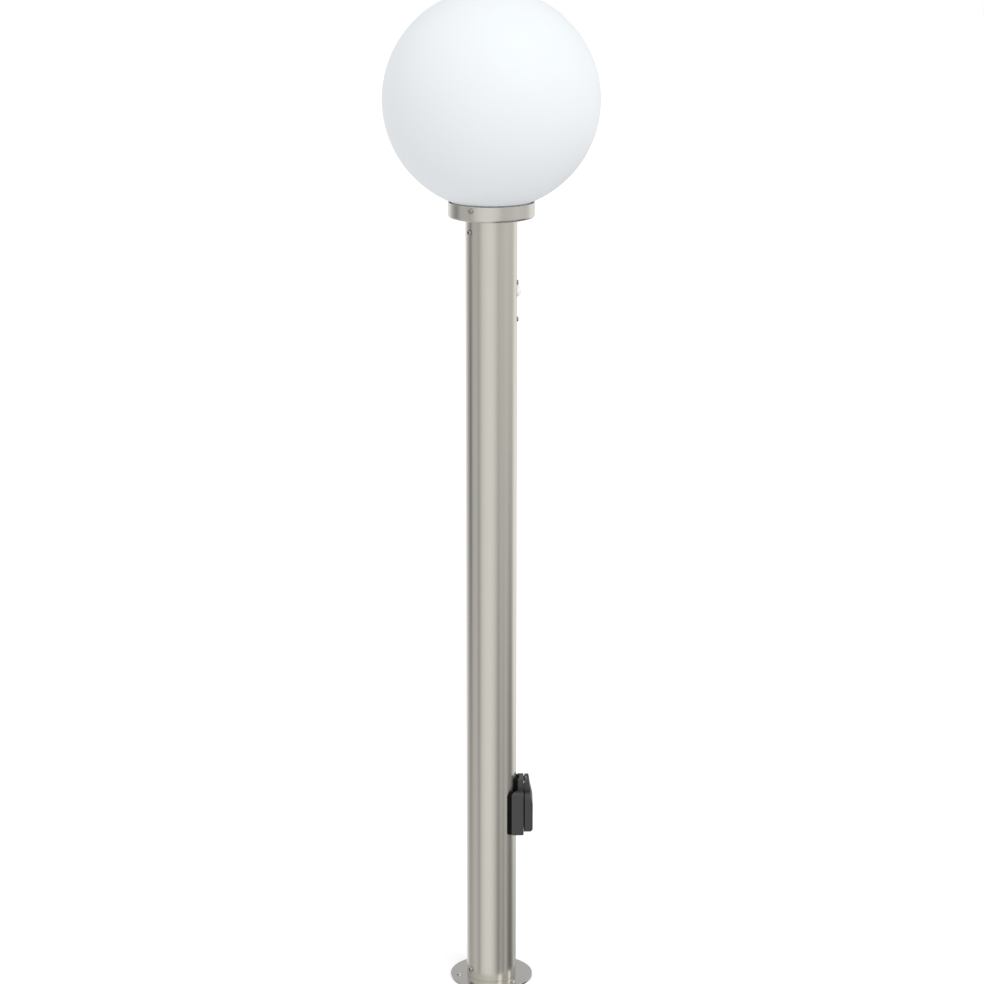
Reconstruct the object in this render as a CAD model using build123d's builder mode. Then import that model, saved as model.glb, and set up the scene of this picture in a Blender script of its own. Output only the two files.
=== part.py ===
from build123d import *
import math
import os

os.makedirs("parts", exist_ok=True)

# Garden post with an opal globe lamp, a lidded socket outlet and a motion sensor.
# The post stands on the ground at Z = 0 with its axis on Z, and the socket and the
# sensor face +X. Lengths are in millimetres and angles in degrees.

# Whole post
total_height = 1200.0
post_diameter = 60.0
post_wall = 1.5

# Gaps and overruns
cut_overrun = 2.0
thread_clearance = 0.05
slide_clearance = 0.1
body_clearance = 0.3

# Fixing screws that hold the post to its foot and its head
fixing_count = 2
fixing_angle = -145.6
fixing_thread = 4.0
fixing_length = 6.0
fixing_head_diameter = 7.0
fixing_head_height = 2.4
fixing_key_size = 2.5
fixing_key_depth = 1.3
fixing_hole_diameter = 4.5
foot_fixing_inset = 11.0
head_fixing_inset = 15.5
head_rounding_share = 0.75

# Foot
flange_diameter = 100.0
flange_thickness = 3.0
flange_edge_radius = 0.6
anchor_edge_distance = 10.0
anchor_hole_diameter = 7.0
anchor_count = 3
anchor_angle = -168.0
spigot_wall = 2.0
foot_spigot_length = 32.0
inlet_diameter = 16.0

# Cable grommet in the foot
grommet_bore = 10.0
grommet_rim_diameter = 20.0
grommet_rim_height = 1.5

# Small slotted screws inside the post
small_thread = 3.0
small_head_diameter = 5.0
small_head_height = 1.8
small_slot_width = 0.8
small_slot_depth = 0.8

# Wiring bracket with its terminal block, cable clamp and earth screw
bracket_thickness = 2.0
bracket_width = 30.0
bracket_height = 92.0
bracket_foot_length = 7.5
bracket_foot_gap = 0.5
screw_tip_inset = 0.5
bracket_screw_spacing = 18.0
block_width = 30.0
block_depth = 14.0
block_height = 20.0
block_base_height = 62.0
terminal_pitch = 9.5
terminal_bore = 4.0
terminal_screw_spacing = 11.0
clamp_width = 28.0
clamp_thickness = 9.5
clamp_height = 8.0
clamp_base_height = 18.0
clamp_cable_diameter = 10.0
clamp_gap = 3.0
clamp_screw_spacing = 20.0
earth_screw_height = 42.0

# Collar cup that carries the globe
collar_diameter = 100.0
collar_height = 18.0
collar_wall = 1.2
collar_edge_radius = 3.0
collar_gap = 1.2
head_spigot_length = 32.0

# Globe
globe_diameter = 250.0
globe_wall = 3.0
neck_gap = 1.3
neck_lip_step = 1.5
neck_lip_height = 4.0
seal_thickness = 2.0
seal_width = 5.0

# Globe screws
globe_screw_count = 2
globe_screw_angle = -118.0
globe_screw_inset = 5.0
globe_screw_head_diameter = 6.5
globe_screw_head_height = 2.2
globe_screw_hole = 4.2

# Nipple and nuts that carry the lampholder
nipple_diameter = 10.0
nipple_bore = 7.0
nipple_reach = 9.0
nipple_nut_size = 14.0
nipple_nut_height = 4.0

# Lampholder
holder_cap_diameter = 38.0
holder_cap_height = 16.0
holder_cap_wall = 2.5
holder_cap_floor = 3.0
holder_shell_diameter = 41.0
holder_shell_height = 33.0
holder_shell_wall = 2.5
holder_rim_radius = 1.5
core_height = 12.0
thread_shell_wall = 0.6
thread_shell_height = 17.0
centre_contact_diameter = 9.0
centre_contact_thickness = 0.8
centre_stud_diameter = 4.0
centre_stud_height = 2.0

# Bulb
bulb_cap_diameter = 26.4
bulb_cap_height = 22.0
bulb_cap_wall = 0.5
bulb_tip_diameter = 9.0
bulb_tip_height = 2.6
bulb_diameter = 60.0
bulb_wall = 1.0
bulb_reach = 80.0

# Socket position, recess and housing
socket_height = 217.65
recess_diameter = 39.0
housing_side_margin = 3.9
housing_end_margin = 8.15
housing_depth = 9.0
housing_corner_radius = 4.0
housing_edge_radius = 1.5
gasket_thickness = 3.9
gasket_inset = 0.8
gasket_corner_radius = 3.5

# Hinge tower on top of the housing
tower_width = 22.6
tower_rise = 13.0
tower_corner_radius = 1.0
pin_depth_below_top = 2.2
pin_from_housing = 2.6
pin_diameter = 2.0
barrel_diameter = 4.0
pin_end_inset = 0.4
knuckle_width = 7.0
knuckle_ear_width = 1.9
slot_diameter = 8.6

# Lid
lid_depth = 11.0
lid_side_inset = 0.9
lid_top_inset = 1.5
lid_bottom_inset = 3.2
lid_corner_radius = 8.0
lid_wall = 2.4
lid_front_wall = 2.5
lid_edge_radius = 2.0
lid_bevel_depth = 3.5
lid_bevel_height = 4.8
lid_slope_depth = 3.1
lid_slope_height = 14.3
lid_seal_thickness = 1.0
lug_top_depth = 3.3
lug_base_depth = 8.2
lug_base_drop = 26.1

# Lid spring
spring_outer_diameter = 3.8
spring_bore = 2.6
spring_wire = 0.6
spring_side_gap = 0.25
spring_leg_length = 2.2

# Socket insert
insert_side_rim = 2.4
insert_end_rim = 2.95
insert_plate_corner_radius = 7.0
insert_plate_thickness = 2.5
recess_depth = 17.5
recess_wall = 1.3
recess_floor = 3.0
recess_edge_chamfer = 0.6
rib_width = 5.0
rib_height = 2.0
rib_setback = 2.5
pin_hole_diameter = 5.4
pin_spacing = 19.0
cup_clearance = 0.4
socket_screw_side_distance = 6.9
socket_screw_end_distance = 7.65
socket_screw_thread = 3.5
socket_screw_head = 6.2
socket_screw_length = 20.0
socket_screw_slot_width = 0.9
socket_screw_slot_depth = 0.9

# Contacts behind the insert
carrier_inset = 2.5
carrier_depth = 14.0
carrier_corner_radius = 5.0
carrier_back_wall = 1.5
contact_diameter = 7.5
contact_bore = 5.0
contact_bore_depth = 9.0
contact_slit = 0.8
contact_screw_length = 5.0
centre_screw_length = 13.0
centre_screw_head = 6.6
centre_screw_thread = 3.5
earth_strip_width = 5.0
earth_strip_thickness = 0.8
earth_strip_gap = 0.5
earth_strip_reach = 14.0
earth_slot_clearance = 0.3
earth_tip_rise = 1.6
earth_tip_length = 5.0

# Motion sensor
sensor_drop = 98.0
sensor_screw_spacing = 43.0
lens_diameter = 13.4
lens_wall = 1.0
lens_rise = 5.0
lens_setback = 3.5
lens_flange_rim = 1.3
lens_flange_thickness = 1.0
board_setback = 8.9
board_thickness = 1.6
board_width = 20.0
board_end = 9.0
sensor_screw_head_diameter = 6.0
sensor_screw_head_height = 1.6
sensor_screw_key = 2.0
sensor_screw_key_depth = 0.9
sensor_screw_length = 15.5
sensor_screw_hole = 3.3
spacer_diameter = 6.0
spacer_bore = 3.2
spacer_end_gap = 0.2
board_nut_size = 5.5
board_nut_height = 2.4
detector_diameter = 9.2
detector_height = 4.4
detector_edge_radius = 0.5
relay_width = 12.0
relay_height = 20.0
relay_depth = 10.0
time_dial_drop = 2.5
dial_spacing = 10.0
potentiometer_size = 7.0
potentiometer_depth = 5.0
potentiometer_bore = 4.0
potentiometer_bore_depth = 2.2
dial_diameter = 5.2
dial_sink = 0.3
dial_slot_width = 0.9
dial_slot_depth = 1.0
dial_hole_diameter = 6.0

# Wiring held inside the post
core_diameter = 2.5
sheath_diameter = 6.4
core_lean_height = 24.0
core_bend_radius = 15.0
core_start_depth = 5.0
sheath_crossing_drop = 45.0
sheath_crossing_rise = 30.0
sheath_bend_radius = 25.0
sheath_grip = 5.0
sheath_head_drop = 25.0
earth_lead_bend_radius = 4.0

# Worked out from the sizes above
full_turn = 360.0
post_radius = post_diameter / 2
post_bore_radius = post_radius - post_wall
post_bottom = flange_thickness
anchor_circle = flange_diameter - 2 * anchor_edge_distance
globe_radius = globe_diameter / 2
globe_centre = total_height - globe_radius
collar_radius = collar_diameter / 2
collar_bore_radius = collar_radius - collar_wall
globe_standoff = globe_radius + collar_gap
collar_top = globe_centre - math.sqrt(globe_standoff**2 - collar_bore_radius**2)
collar_bottom = collar_top - collar_height
collar_floor = collar_bottom + collar_wall
post_top = collar_bottom
spigot_radius = post_bore_radius - slide_clearance
spigot_bore_radius = spigot_radius - spigot_wall
fixing_tap_diameter = fixing_thread + 2 * thread_clearance
foot_fixing_height = post_bottom + foot_fixing_inset
head_fixing_height = post_top - head_fixing_inset
small_hole_diameter = small_thread + 2 * thread_clearance

housing_front = post_radius + housing_depth
housing_width = recess_diameter + 2 * housing_side_margin
housing_height = recess_diameter + 2 * housing_end_margin
housing_bottom = socket_height - housing_height / 2
housing_top = socket_height + housing_height / 2
tower_top = housing_top + tower_rise
saddle_radius = post_radius + gasket_thickness
cup_radius = recess_diameter / 2 + recess_wall
cutout_radius = cup_radius + cup_clearance
recess_bottom = housing_front - recess_depth
cup_back = recess_bottom - recess_floor
pin_height = tower_top - pin_depth_below_top
pin_reach = housing_front + pin_from_housing
seal_back = housing_front + body_clearance
lid_back = seal_back + lid_seal_thickness
lid_front = housing_front + lid_depth
lid_width = housing_width - 2 * lid_side_inset
lid_top = housing_top - lid_top_inset
lid_bottom = housing_bottom + lid_bottom_inset
lid_height = lid_top - lid_bottom
lid_middle = (lid_top + lid_bottom) / 2
insert_plate_width = housing_width - 2 * insert_side_rim
insert_plate_height = housing_height - 2 * insert_end_rim
carrier_size = recess_diameter - 2 * carrier_inset
carrier_back = cup_back - carrier_depth
socket_screw_reach = housing_width / 2 - socket_screw_side_distance
socket_screw_rise = housing_height / 2 - socket_screw_end_distance
socket_screw_places = [
    (side * socket_screw_reach, socket_height + end * socket_screw_rise)
    for side in (-1, 1)
    for end in (-1, 1)
]
contact_places = [-pin_spacing / 2, pin_spacing / 2]

sensor_middle = post_top - sensor_drop
sensor_screw_top = sensor_middle + sensor_screw_spacing / 2
sensor_screw_heights = [sensor_screw_top, sensor_screw_top - sensor_screw_spacing]
lens_radius = lens_diameter / 2
lens_bore_radius = lens_radius - lens_wall
lens_bore_rise = lens_rise - lens_wall
lens_dome_radius = (lens_radius**2 + lens_rise**2) / (2 * lens_rise)
lens_dome_bore_radius = (lens_bore_radius**2 + lens_bore_rise**2) / (2 * lens_bore_rise)
lens_flange_radius = lens_radius + lens_flange_rim
lens_back = post_bore_radius - lens_setback
lens_height = sensor_screw_top - sensor_screw_head_diameter / 2 - lens_radius - body_clearance
board_height = sensor_screw_spacing + 2 * board_end
board_front = post_bore_radius - board_setback
board_back = board_front - board_thickness
potentiometer_face = board_front + potentiometer_depth
time_dial_height = sensor_middle - time_dial_drop
lux_dial_height = time_dial_height - dial_spacing
dial_heights = [time_dial_height, lux_dial_height]

bracket_reach = grommet_rim_diameter / 2 + bracket_foot_gap + bracket_foot_length
bracket_face = -bracket_reach + bracket_thickness
bracket_foot_top = flange_thickness + bracket_thickness
bracket_screw_reach = bracket_face + (bracket_foot_length - bracket_thickness) / 2
bracket_screw_sides = [-bracket_screw_spacing / 2, bracket_screw_spacing / 2]
block_front = bracket_face + block_depth
block_top = block_base_height + block_height
terminal_reach = block_front - terminal_bore
terminal_places = [-terminal_pitch, 0, terminal_pitch]
block_middle = block_base_height + block_height / 2


def facing_x(x, y, z):
    """A plane that faces +X at the given point, its own X axis along Y."""
    return Plane(origin=(x, y, z), x_dir=(0, 1, 0), z_dir=(1, 0, 0))


def facing_out(radius, height, start_angle, count):
    """Planes evenly spaced round the post's axis, each facing away from it."""
    planes = []
    for number in range(count):
        angle = math.radians(start_angle + full_turn / count * number)
        outward = Vector(math.cos(angle), math.sin(angle), 0)
        planes.append(Plane(origin=outward * radius + Vector(0, 0, height), z_dir=outward))
    return planes


def keyed_screw(thread, length, head_diameter, head_height, key_size, key_depth):
    """A round-headed screw with a hexagon recess, its head seated on Z = 0 and its tip below."""
    with BuildPart() as screw:
        Cylinder(head_diameter / 2, head_height, align=(Align.CENTER, Align.CENTER, Align.MIN))
        fillet(screw.edges().group_by(Axis.Z)[-1], head_height * head_rounding_share)
        with BuildSketch(Plane.XY.offset(head_height)):
            RegularPolygon(key_size / 2, 6, major_radius=False)
        extrude(amount=-key_depth, mode=Mode.SUBTRACT)
        Cylinder(thread / 2, length, align=(Align.CENTER, Align.CENTER, Align.MAX))
    return screw.part


def slotted_screw(thread, length, head_diameter, head_height, slot_width, slot_depth):
    """A flat-headed screw with a slot, its head seated on Z = 0 and its tip below."""
    with BuildPart() as screw:
        Cylinder(head_diameter / 2, head_height, align=(Align.CENTER, Align.CENTER, Align.MIN))
        with BuildSketch(Plane.XY.offset(head_height)):
            Rectangle(head_diameter + cut_overrun, slot_width)
        extrude(amount=-slot_depth, mode=Mode.SUBTRACT)
        Cylinder(thread / 2, length, align=(Align.CENTER, Align.CENTER, Align.MAX))
    return screw.part


def countersunk_screw(thread, length, head_diameter, slot_width, slot_depth):
    """A countersunk screw with its slotted head flush with Z = 0 and its tip below."""
    cone_height = (head_diameter - thread) / 2
    with BuildPart() as screw:
        with BuildSketch(Plane.XZ):
            with BuildLine():
                Polyline(
                    (0, 0),
                    (head_diameter / 2, 0),
                    (thread / 2, -cone_height),
                    (thread / 2, -length),
                    (0, -length),
                    close=True,
                )
            make_face()
        revolve(axis=Axis.Z)
        with BuildSketch():
            Rectangle(head_diameter + cut_overrun, slot_width)
        extrude(amount=-slot_depth, mode=Mode.SUBTRACT)
    return screw.part


def small_screw(length):
    """One of the small slotted screws used inside the post, of the given length."""
    return slotted_screw(
        small_thread,
        length,
        small_head_diameter,
        small_head_height,
        small_slot_width,
        small_slot_depth,
    )


# Foot: flange, spigot, grommet and fixing screws

foot_fixing_planes = facing_out(post_radius, foot_fixing_height, fixing_angle, fixing_count)
head_fixing_planes = facing_out(post_radius, head_fixing_height, fixing_angle, fixing_count)
globe_screw_planes = facing_out(
    collar_radius, collar_top - globe_screw_inset, globe_screw_angle, globe_screw_count
)
bracket_screw_places = [(bracket_screw_reach, side) for side in bracket_screw_sides]
fixing_screw = keyed_screw(
    fixing_thread,
    fixing_length,
    fixing_head_diameter,
    fixing_head_height,
    fixing_key_size,
    fixing_key_depth,
)

with BuildPart() as base_flange:
    with BuildSketch():
        Circle(flange_diameter / 2)
    extrude(amount=flange_thickness)
    fillet(base_flange.edges().group_by(Axis.Z)[-1], flange_edge_radius)
    with BuildSketch():
        Circle(inlet_diameter / 2)
        with PolarLocations(anchor_circle / 2, anchor_count, start_angle=anchor_angle):
            Circle(anchor_hole_diameter / 2)
        with Locations(*bracket_screw_places):
            Circle(small_hole_diameter / 2)
    extrude(amount=flange_thickness, mode=Mode.SUBTRACT)
base_flange.part.label = "base_flange"
export_step(base_flange.part, "parts/base_flange.step")

with BuildPart() as foot_spigot:
    with BuildSketch(Plane.XY.offset(flange_thickness)):
        Circle(spigot_radius)
        Circle(spigot_bore_radius, mode=Mode.SUBTRACT)
    extrude(amount=foot_spigot_length)
    with Locations(*foot_fixing_planes):
        Hole(fixing_tap_diameter / 2, depth=post_radius - spigot_bore_radius + cut_overrun)
foot_spigot.part.label = "foot_spigot"
export_step(foot_spigot.part, "parts/foot_spigot.step")

with BuildPart() as cable_grommet:
    with BuildSketch(Plane.XY.offset(body_clearance)):
        Circle(inlet_diameter / 2 - thread_clearance)
    extrude(amount=flange_thickness - body_clearance)
    with BuildSketch(Plane.XY.offset(flange_thickness)):
        Circle(grommet_rim_diameter / 2)
    extrude(amount=grommet_rim_height)
    fillet(cable_grommet.edges().group_by(Axis.Z)[-1], grommet_rim_height / 2)
    Hole(grommet_bore / 2)
cable_grommet.part.label = "cable_grommet"
export_step(cable_grommet.part, "parts/cable_grommet.step")

with BuildPart() as base_screws:
    with Locations(*foot_fixing_planes):
        add(fixing_screw)
base_screws.part.label = "base_screws"
export_step(base_screws.part, "parts/base_screws.step")

# Post tube

with BuildPart() as post_tube:
    with BuildSketch(Plane.XY.offset(post_bottom)):
        Circle(post_radius)
        Circle(post_bore_radius, mode=Mode.SUBTRACT)
    extrude(amount=post_top - post_bottom)
    with Locations(*foot_fixing_planes, *head_fixing_planes):
        Hole(fixing_hole_diameter / 2, depth=post_wall + cut_overrun)
    with Locations(facing_x(post_radius, 0, socket_height)):
        Hole(cutout_radius, depth=post_radius)
    with Locations(*[facing_x(post_radius, y, z) for y, z in socket_screw_places]):
        Hole(socket_screw_thread / 2 + thread_clearance, depth=post_radius)
    with Locations(facing_x(post_radius, 0, lens_height)):
        Hole(lens_diameter / 2 + body_clearance, depth=post_wall + cut_overrun)
    with Locations(*[facing_x(post_radius, 0, z) for z in sensor_screw_heights]):
        Hole(sensor_screw_hole / 2, depth=post_wall + cut_overrun)
    with Locations(*[facing_x(post_radius, 0, z) for z in dial_heights]):
        Hole(dial_hole_diameter / 2, depth=post_wall + cut_overrun)
post_tube.part.label = "post_tube"
export_step(post_tube.part, "parts/post_tube.step")

# Wiring bracket and what it carries

clamp_middle = clamp_base_height + clamp_height / 2
clamp_back = bracket_face + clamp_gap
clamp_face = clamp_back + clamp_thickness
clamp_screw_sides = [-clamp_screw_spacing / 2, clamp_screw_spacing / 2]
block_screw_sides = [-terminal_pitch / 2, terminal_pitch / 2]
bracket_hole_places = (
    [(side, clamp_middle) for side in clamp_screw_sides]
    + [(side, block_middle) for side in block_screw_sides]
    + [(0, earth_screw_height)]
)

with BuildPart() as wiring_bracket:
    with BuildSketch(Plane.XZ):
        with BuildLine():
            Polyline(
                (-bracket_reach, flange_thickness),
                (-bracket_reach, bracket_height),
                (bracket_face, bracket_height),
                (bracket_face, bracket_foot_top),
                (bracket_foot_length - bracket_reach, bracket_foot_top),
                (bracket_foot_length - bracket_reach, flange_thickness),
                close=True,
            )
        make_face()
    extrude(amount=bracket_width / 2, both=True)
    with Locations(*[(x, y, bracket_foot_top) for x, y in bracket_screw_places]):
        Hole(small_hole_diameter / 2, depth=bracket_thickness + cut_overrun)
    with Locations(*[facing_x(bracket_face, y, z) for y, z in bracket_hole_places]):
        Hole(small_hole_diameter / 2, depth=bracket_thickness + cut_overrun)
wiring_bracket.part.label = "wiring_bracket"
export_step(wiring_bracket.part, "parts/wiring_bracket.step")

with BuildPart() as bracket_screws:
    with Locations(*[(x, y, bracket_foot_top) for x, y in bracket_screw_places]):
        add(small_screw(bracket_thickness + flange_thickness - screw_tip_inset))
bracket_screws.part.label = "bracket_screws"
export_step(bracket_screws.part, "parts/bracket_screws.step")

terminal_screw_planes = [
    facing_x(block_front, place, block_middle + end * terminal_screw_spacing / 2)
    for place in terminal_places
    for end in (-1, 1)
]
block_screw_planes = [facing_x(block_front, side, block_middle) for side in block_screw_sides]

with BuildPart() as terminal_block:
    with BuildSketch(Plane.YZ.offset(bracket_face)):
        with Locations((0, block_middle)):
            Rectangle(block_width, block_height)
    extrude(amount=block_depth)
    with Locations(*[(terminal_reach, place, block_top) for place in terminal_places]):
        Hole(terminal_bore / 2, depth=block_height + cut_overrun)
    with Locations(*terminal_screw_planes):
        Hole(small_hole_diameter / 2, depth=terminal_bore)
    with Locations(*block_screw_planes):
        Hole(small_hole_diameter / 2, depth=block_depth + cut_overrun)
terminal_block.part.label = "terminal_block"
export_step(terminal_block.part, "parts/terminal_block.step")

terminal_tip = block_front - terminal_reach - core_diameter / 2 - thread_clearance
with BuildPart() as terminal_screws:
    with Locations(*terminal_screw_planes):
        add(small_screw(terminal_tip))
terminal_screws.part.label = "terminal_screws"
export_step(terminal_screws.part, "parts/terminal_screws.step")

with BuildPart() as block_screws:
    with Locations(*block_screw_planes):
        add(small_screw(block_depth + bracket_thickness - screw_tip_inset))
block_screws.part.label = "block_screws"
export_step(block_screws.part, "parts/block_screws.step")

with BuildPart() as cable_clamp:
    with BuildSketch(Plane.YZ.offset(clamp_back)):
        with Locations((0, clamp_middle)):
            Rectangle(clamp_width, clamp_height)
    extrude(amount=clamp_thickness)
    with BuildSketch(Plane.XY.offset(clamp_base_height)):
        with Locations((bracket_face + clamp_cable_diameter / 2, 0)):
            Circle(clamp_cable_diameter / 2)
    extrude(amount=clamp_height, mode=Mode.SUBTRACT)
    with Locations(*[facing_x(clamp_face, side, clamp_middle) for side in clamp_screw_sides]):
        Hole(small_hole_diameter / 2, depth=clamp_thickness + cut_overrun)
cable_clamp.part.label = "cable_clamp"
export_step(cable_clamp.part, "parts/cable_clamp.step")

with BuildPart() as clamp_screws:
    with Locations(*[facing_x(clamp_face, side, clamp_middle) for side in clamp_screw_sides]):
        add(small_screw(clamp_thickness + clamp_gap + bracket_thickness - screw_tip_inset))
clamp_screws.part.label = "clamp_screws"
export_step(clamp_screws.part, "parts/clamp_screws.step")

with BuildPart() as earth_screw:
    with Locations(facing_x(bracket_face, 0, earth_screw_height)):
        add(small_screw(bracket_thickness - screw_tip_inset))
earth_screw.part.label = "earth_screw"
export_step(earth_screw.part, "parts/earth_screw.step")

# Head: collar cup, its spigot and screws

with BuildPart() as collar_cup:
    with BuildSketch(Plane.XY.offset(collar_bottom)):
        Circle(collar_radius)
    extrude(amount=collar_height)
    fillet(collar_cup.edges().group_by(Axis.Z)[0], collar_edge_radius)
    offset(amount=-collar_wall, openings=collar_cup.faces().sort_by(Axis.Z)[-1])
    with Locations((0, 0, collar_floor)):
        Hole(nipple_diameter / 2 + thread_clearance, depth=collar_wall + cut_overrun)
    with Locations(*globe_screw_planes):
        Hole(globe_screw_hole / 2, depth=collar_wall + cut_overrun)
collar_cup.part.label = "collar_cup"
export_step(collar_cup.part, "parts/collar_cup.step")

with BuildPart() as head_spigot:
    with BuildSketch(Plane.XY.offset(post_top - head_spigot_length)):
        Circle(spigot_radius)
        Circle(spigot_bore_radius, mode=Mode.SUBTRACT)
    extrude(amount=head_spigot_length)
    with Locations(*head_fixing_planes):
        Hole(fixing_tap_diameter / 2, depth=post_radius - spigot_bore_radius + cut_overrun)
head_spigot.part.label = "head_spigot"
export_step(head_spigot.part, "parts/head_spigot.step")

with BuildPart() as head_screws:
    with Locations(*head_fixing_planes):
        add(fixing_screw)
head_screws.part.label = "head_screws"
export_step(head_screws.part, "parts/head_screws.step")

# Globe, its seal and its screws

neck_lip_radius = collar_bore_radius - neck_gap
neck_radius = neck_lip_radius - neck_lip_step
neck_bore_radius = neck_radius - globe_wall
neck_bottom = collar_floor + seal_thickness
inner_globe_radius = globe_radius - globe_wall
neck_start = globe_centre - math.sqrt(globe_radius**2 - neck_radius**2)
neck_bore_start = globe_centre - math.sqrt(inner_globe_radius**2 - neck_bore_radius**2)
globe_screw_length = collar_radius - neck_radius - thread_clearance

with BuildPart() as globe:
    with BuildSketch(Plane.XZ):
        with BuildLine():
            ThreePointArc((0, total_height), (globe_radius, globe_centre), (neck_radius, neck_start))
            Polyline(
                (neck_radius, neck_start),
                (neck_radius, neck_bottom + neck_lip_height),
                (neck_lip_radius, neck_bottom + neck_lip_height),
                (neck_lip_radius, neck_bottom),
                (neck_bore_radius, neck_bottom),
                (neck_bore_radius, neck_bore_start),
            )
            ThreePointArc(
                (neck_bore_radius, neck_bore_start),
                (inner_globe_radius, globe_centre),
                (0, globe_centre + inner_globe_radius),
            )
            Line((0, globe_centre + inner_globe_radius), (0, total_height))
        make_face()
    revolve(axis=Axis.Z)
globe.part.label = "globe"
export_step(globe.part, "parts/globe.step")

seal_outer_radius = collar_bore_radius - collar_edge_radius
with BuildPart() as globe_seal:
    with BuildSketch(Plane.XY.offset(collar_floor)):
        Circle(seal_outer_radius)
        Circle(seal_outer_radius - seal_width, mode=Mode.SUBTRACT)
    extrude(amount=seal_thickness)
globe_seal.part.label = "globe_seal"
export_step(globe_seal.part, "parts/globe_seal.step")

with BuildPart() as globe_screws:
    with Locations(*globe_screw_planes):
        add(
            keyed_screw(
                fixing_thread,
                globe_screw_length,
                globe_screw_head_diameter,
                globe_screw_head_height,
                fixing_key_size,
                fixing_key_depth,
            )
        )
globe_screws.part.label = "globe_screws"
export_step(globe_screws.part, "parts/globe_screws.step")

# Lampholder

nipple_bottom = collar_bottom - nipple_reach
nipple_top = collar_floor + nipple_nut_height + nipple_reach
holder_bottom = collar_floor + nipple_nut_height
holder_joint = holder_bottom + holder_cap_height
core_top = holder_joint + core_height
thread_shell_bore_radius = bulb_cap_diameter / 2 + slide_clearance

with BuildPart() as nipple:
    with BuildSketch(Plane.XY.offset(nipple_bottom)):
        Circle(nipple_diameter / 2)
        Circle(nipple_bore / 2, mode=Mode.SUBTRACT)
    extrude(amount=nipple_top - nipple_bottom)
nipple.part.label = "nipple"
export_step(nipple.part, "parts/nipple.step")

with BuildPart() as nipple_nuts:
    for nut_base in (collar_bottom - nipple_nut_height, collar_floor):
        with BuildSketch(Plane.XY.offset(nut_base)):
            RegularPolygon(nipple_nut_size / 2, 6, major_radius=False)
            Circle(nipple_diameter / 2 + thread_clearance, mode=Mode.SUBTRACT)
        extrude(amount=nipple_nut_height)
nipple_nuts.part.label = "nipple_nuts"
export_step(nipple_nuts.part, "parts/nipple_nuts.step")

with BuildPart() as lampholder_cap:
    with BuildSketch(Plane.XY.offset(holder_bottom)):
        Circle(holder_cap_diameter / 2)
    extrude(amount=holder_cap_height)
    fillet(lampholder_cap.edges().group_by(Axis.Z)[0], holder_rim_radius)
    with BuildSketch(Plane.XY.offset(holder_bottom + holder_cap_floor)):
        Circle(holder_cap_diameter / 2 - holder_cap_wall)
    extrude(amount=holder_cap_height, mode=Mode.SUBTRACT)
    with Locations((0, 0, holder_bottom)):
        Hole(nipple_diameter / 2 + thread_clearance, depth=holder_cap_floor + cut_overrun)
lampholder_cap.part.label = "lampholder_cap"
export_step(lampholder_cap.part, "parts/lampholder_cap.step")

with BuildPart() as lampholder_shell:
    with BuildSketch(Plane.XY.offset(holder_joint)):
        Circle(holder_shell_diameter / 2)
    extrude(amount=holder_shell_height)
    fillet(lampholder_shell.edges().group_by(Axis.Z)[-1], holder_rim_radius)
    with BuildSketch(Plane.XY.offset(holder_joint)):
        Circle(holder_shell_diameter / 2 - holder_shell_wall)
    extrude(amount=holder_shell_height, mode=Mode.SUBTRACT)
lampholder_shell.part.label = "lampholder_shell"
export_step(lampholder_shell.part, "parts/lampholder_shell.step")

with BuildPart() as lampholder_core:
    with BuildSketch(Plane.XY.offset(holder_joint)):
        Circle(holder_shell_diameter / 2 - holder_shell_wall - slide_clearance)
    extrude(amount=core_height)
lampholder_core.part.label = "lampholder_core"
export_step(lampholder_core.part, "parts/lampholder_core.step")

with BuildPart() as thread_shell:
    with BuildSketch(Plane.XY.offset(core_top)):
        Circle(thread_shell_bore_radius + thread_shell_wall)
        Circle(thread_shell_bore_radius, mode=Mode.SUBTRACT)
    extrude(amount=thread_shell_height)
thread_shell.part.label = "thread_shell"
export_step(thread_shell.part, "parts/thread_shell.step")

with BuildPart() as centre_contact:
    with BuildSketch(Plane.XY.offset(core_top)):
        Circle(centre_contact_diameter / 2)
    extrude(amount=centre_contact_thickness)
    with BuildSketch(Plane.XY.offset(core_top + centre_contact_thickness)):
        Circle(centre_stud_diameter / 2)
    extrude(amount=centre_stud_height)
centre_contact.part.label = "centre_contact"
export_step(centre_contact.part, "parts/centre_contact.step")

# Bulb

bulb_tip_bottom = core_top + centre_contact_thickness + centre_stud_height
bulb_cap_bottom = bulb_tip_bottom + bulb_tip_height
bulb_cap_top = bulb_cap_bottom + bulb_cap_height
bulb_radius = bulb_diameter / 2
bulb_neck_radius = bulb_cap_diameter / 2 - bulb_cap_wall
bulb_centre = bulb_cap_top + bulb_reach - bulb_radius
bulb_inner_radius = bulb_radius - bulb_wall
bulb_inner_neck_radius = bulb_neck_radius - bulb_wall

with BuildPart() as bulb_tip:
    with BuildSketch(Plane.XY.offset(bulb_tip_bottom)):
        Circle(bulb_tip_diameter / 2)
    with BuildSketch(Plane.XY.offset(bulb_cap_bottom)):
        Circle(bulb_neck_radius)
    loft()
bulb_tip.part.label = "bulb_tip"
export_step(bulb_tip.part, "parts/bulb_tip.step")

with BuildPart() as bulb_cap:
    with BuildSketch(Plane.XY.offset(bulb_cap_bottom)):
        Circle(bulb_cap_diameter / 2)
        Circle(bulb_neck_radius, mode=Mode.SUBTRACT)
    extrude(amount=bulb_cap_height)
bulb_cap.part.label = "bulb_cap"
export_step(bulb_cap.part, "parts/bulb_cap.step")

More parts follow.
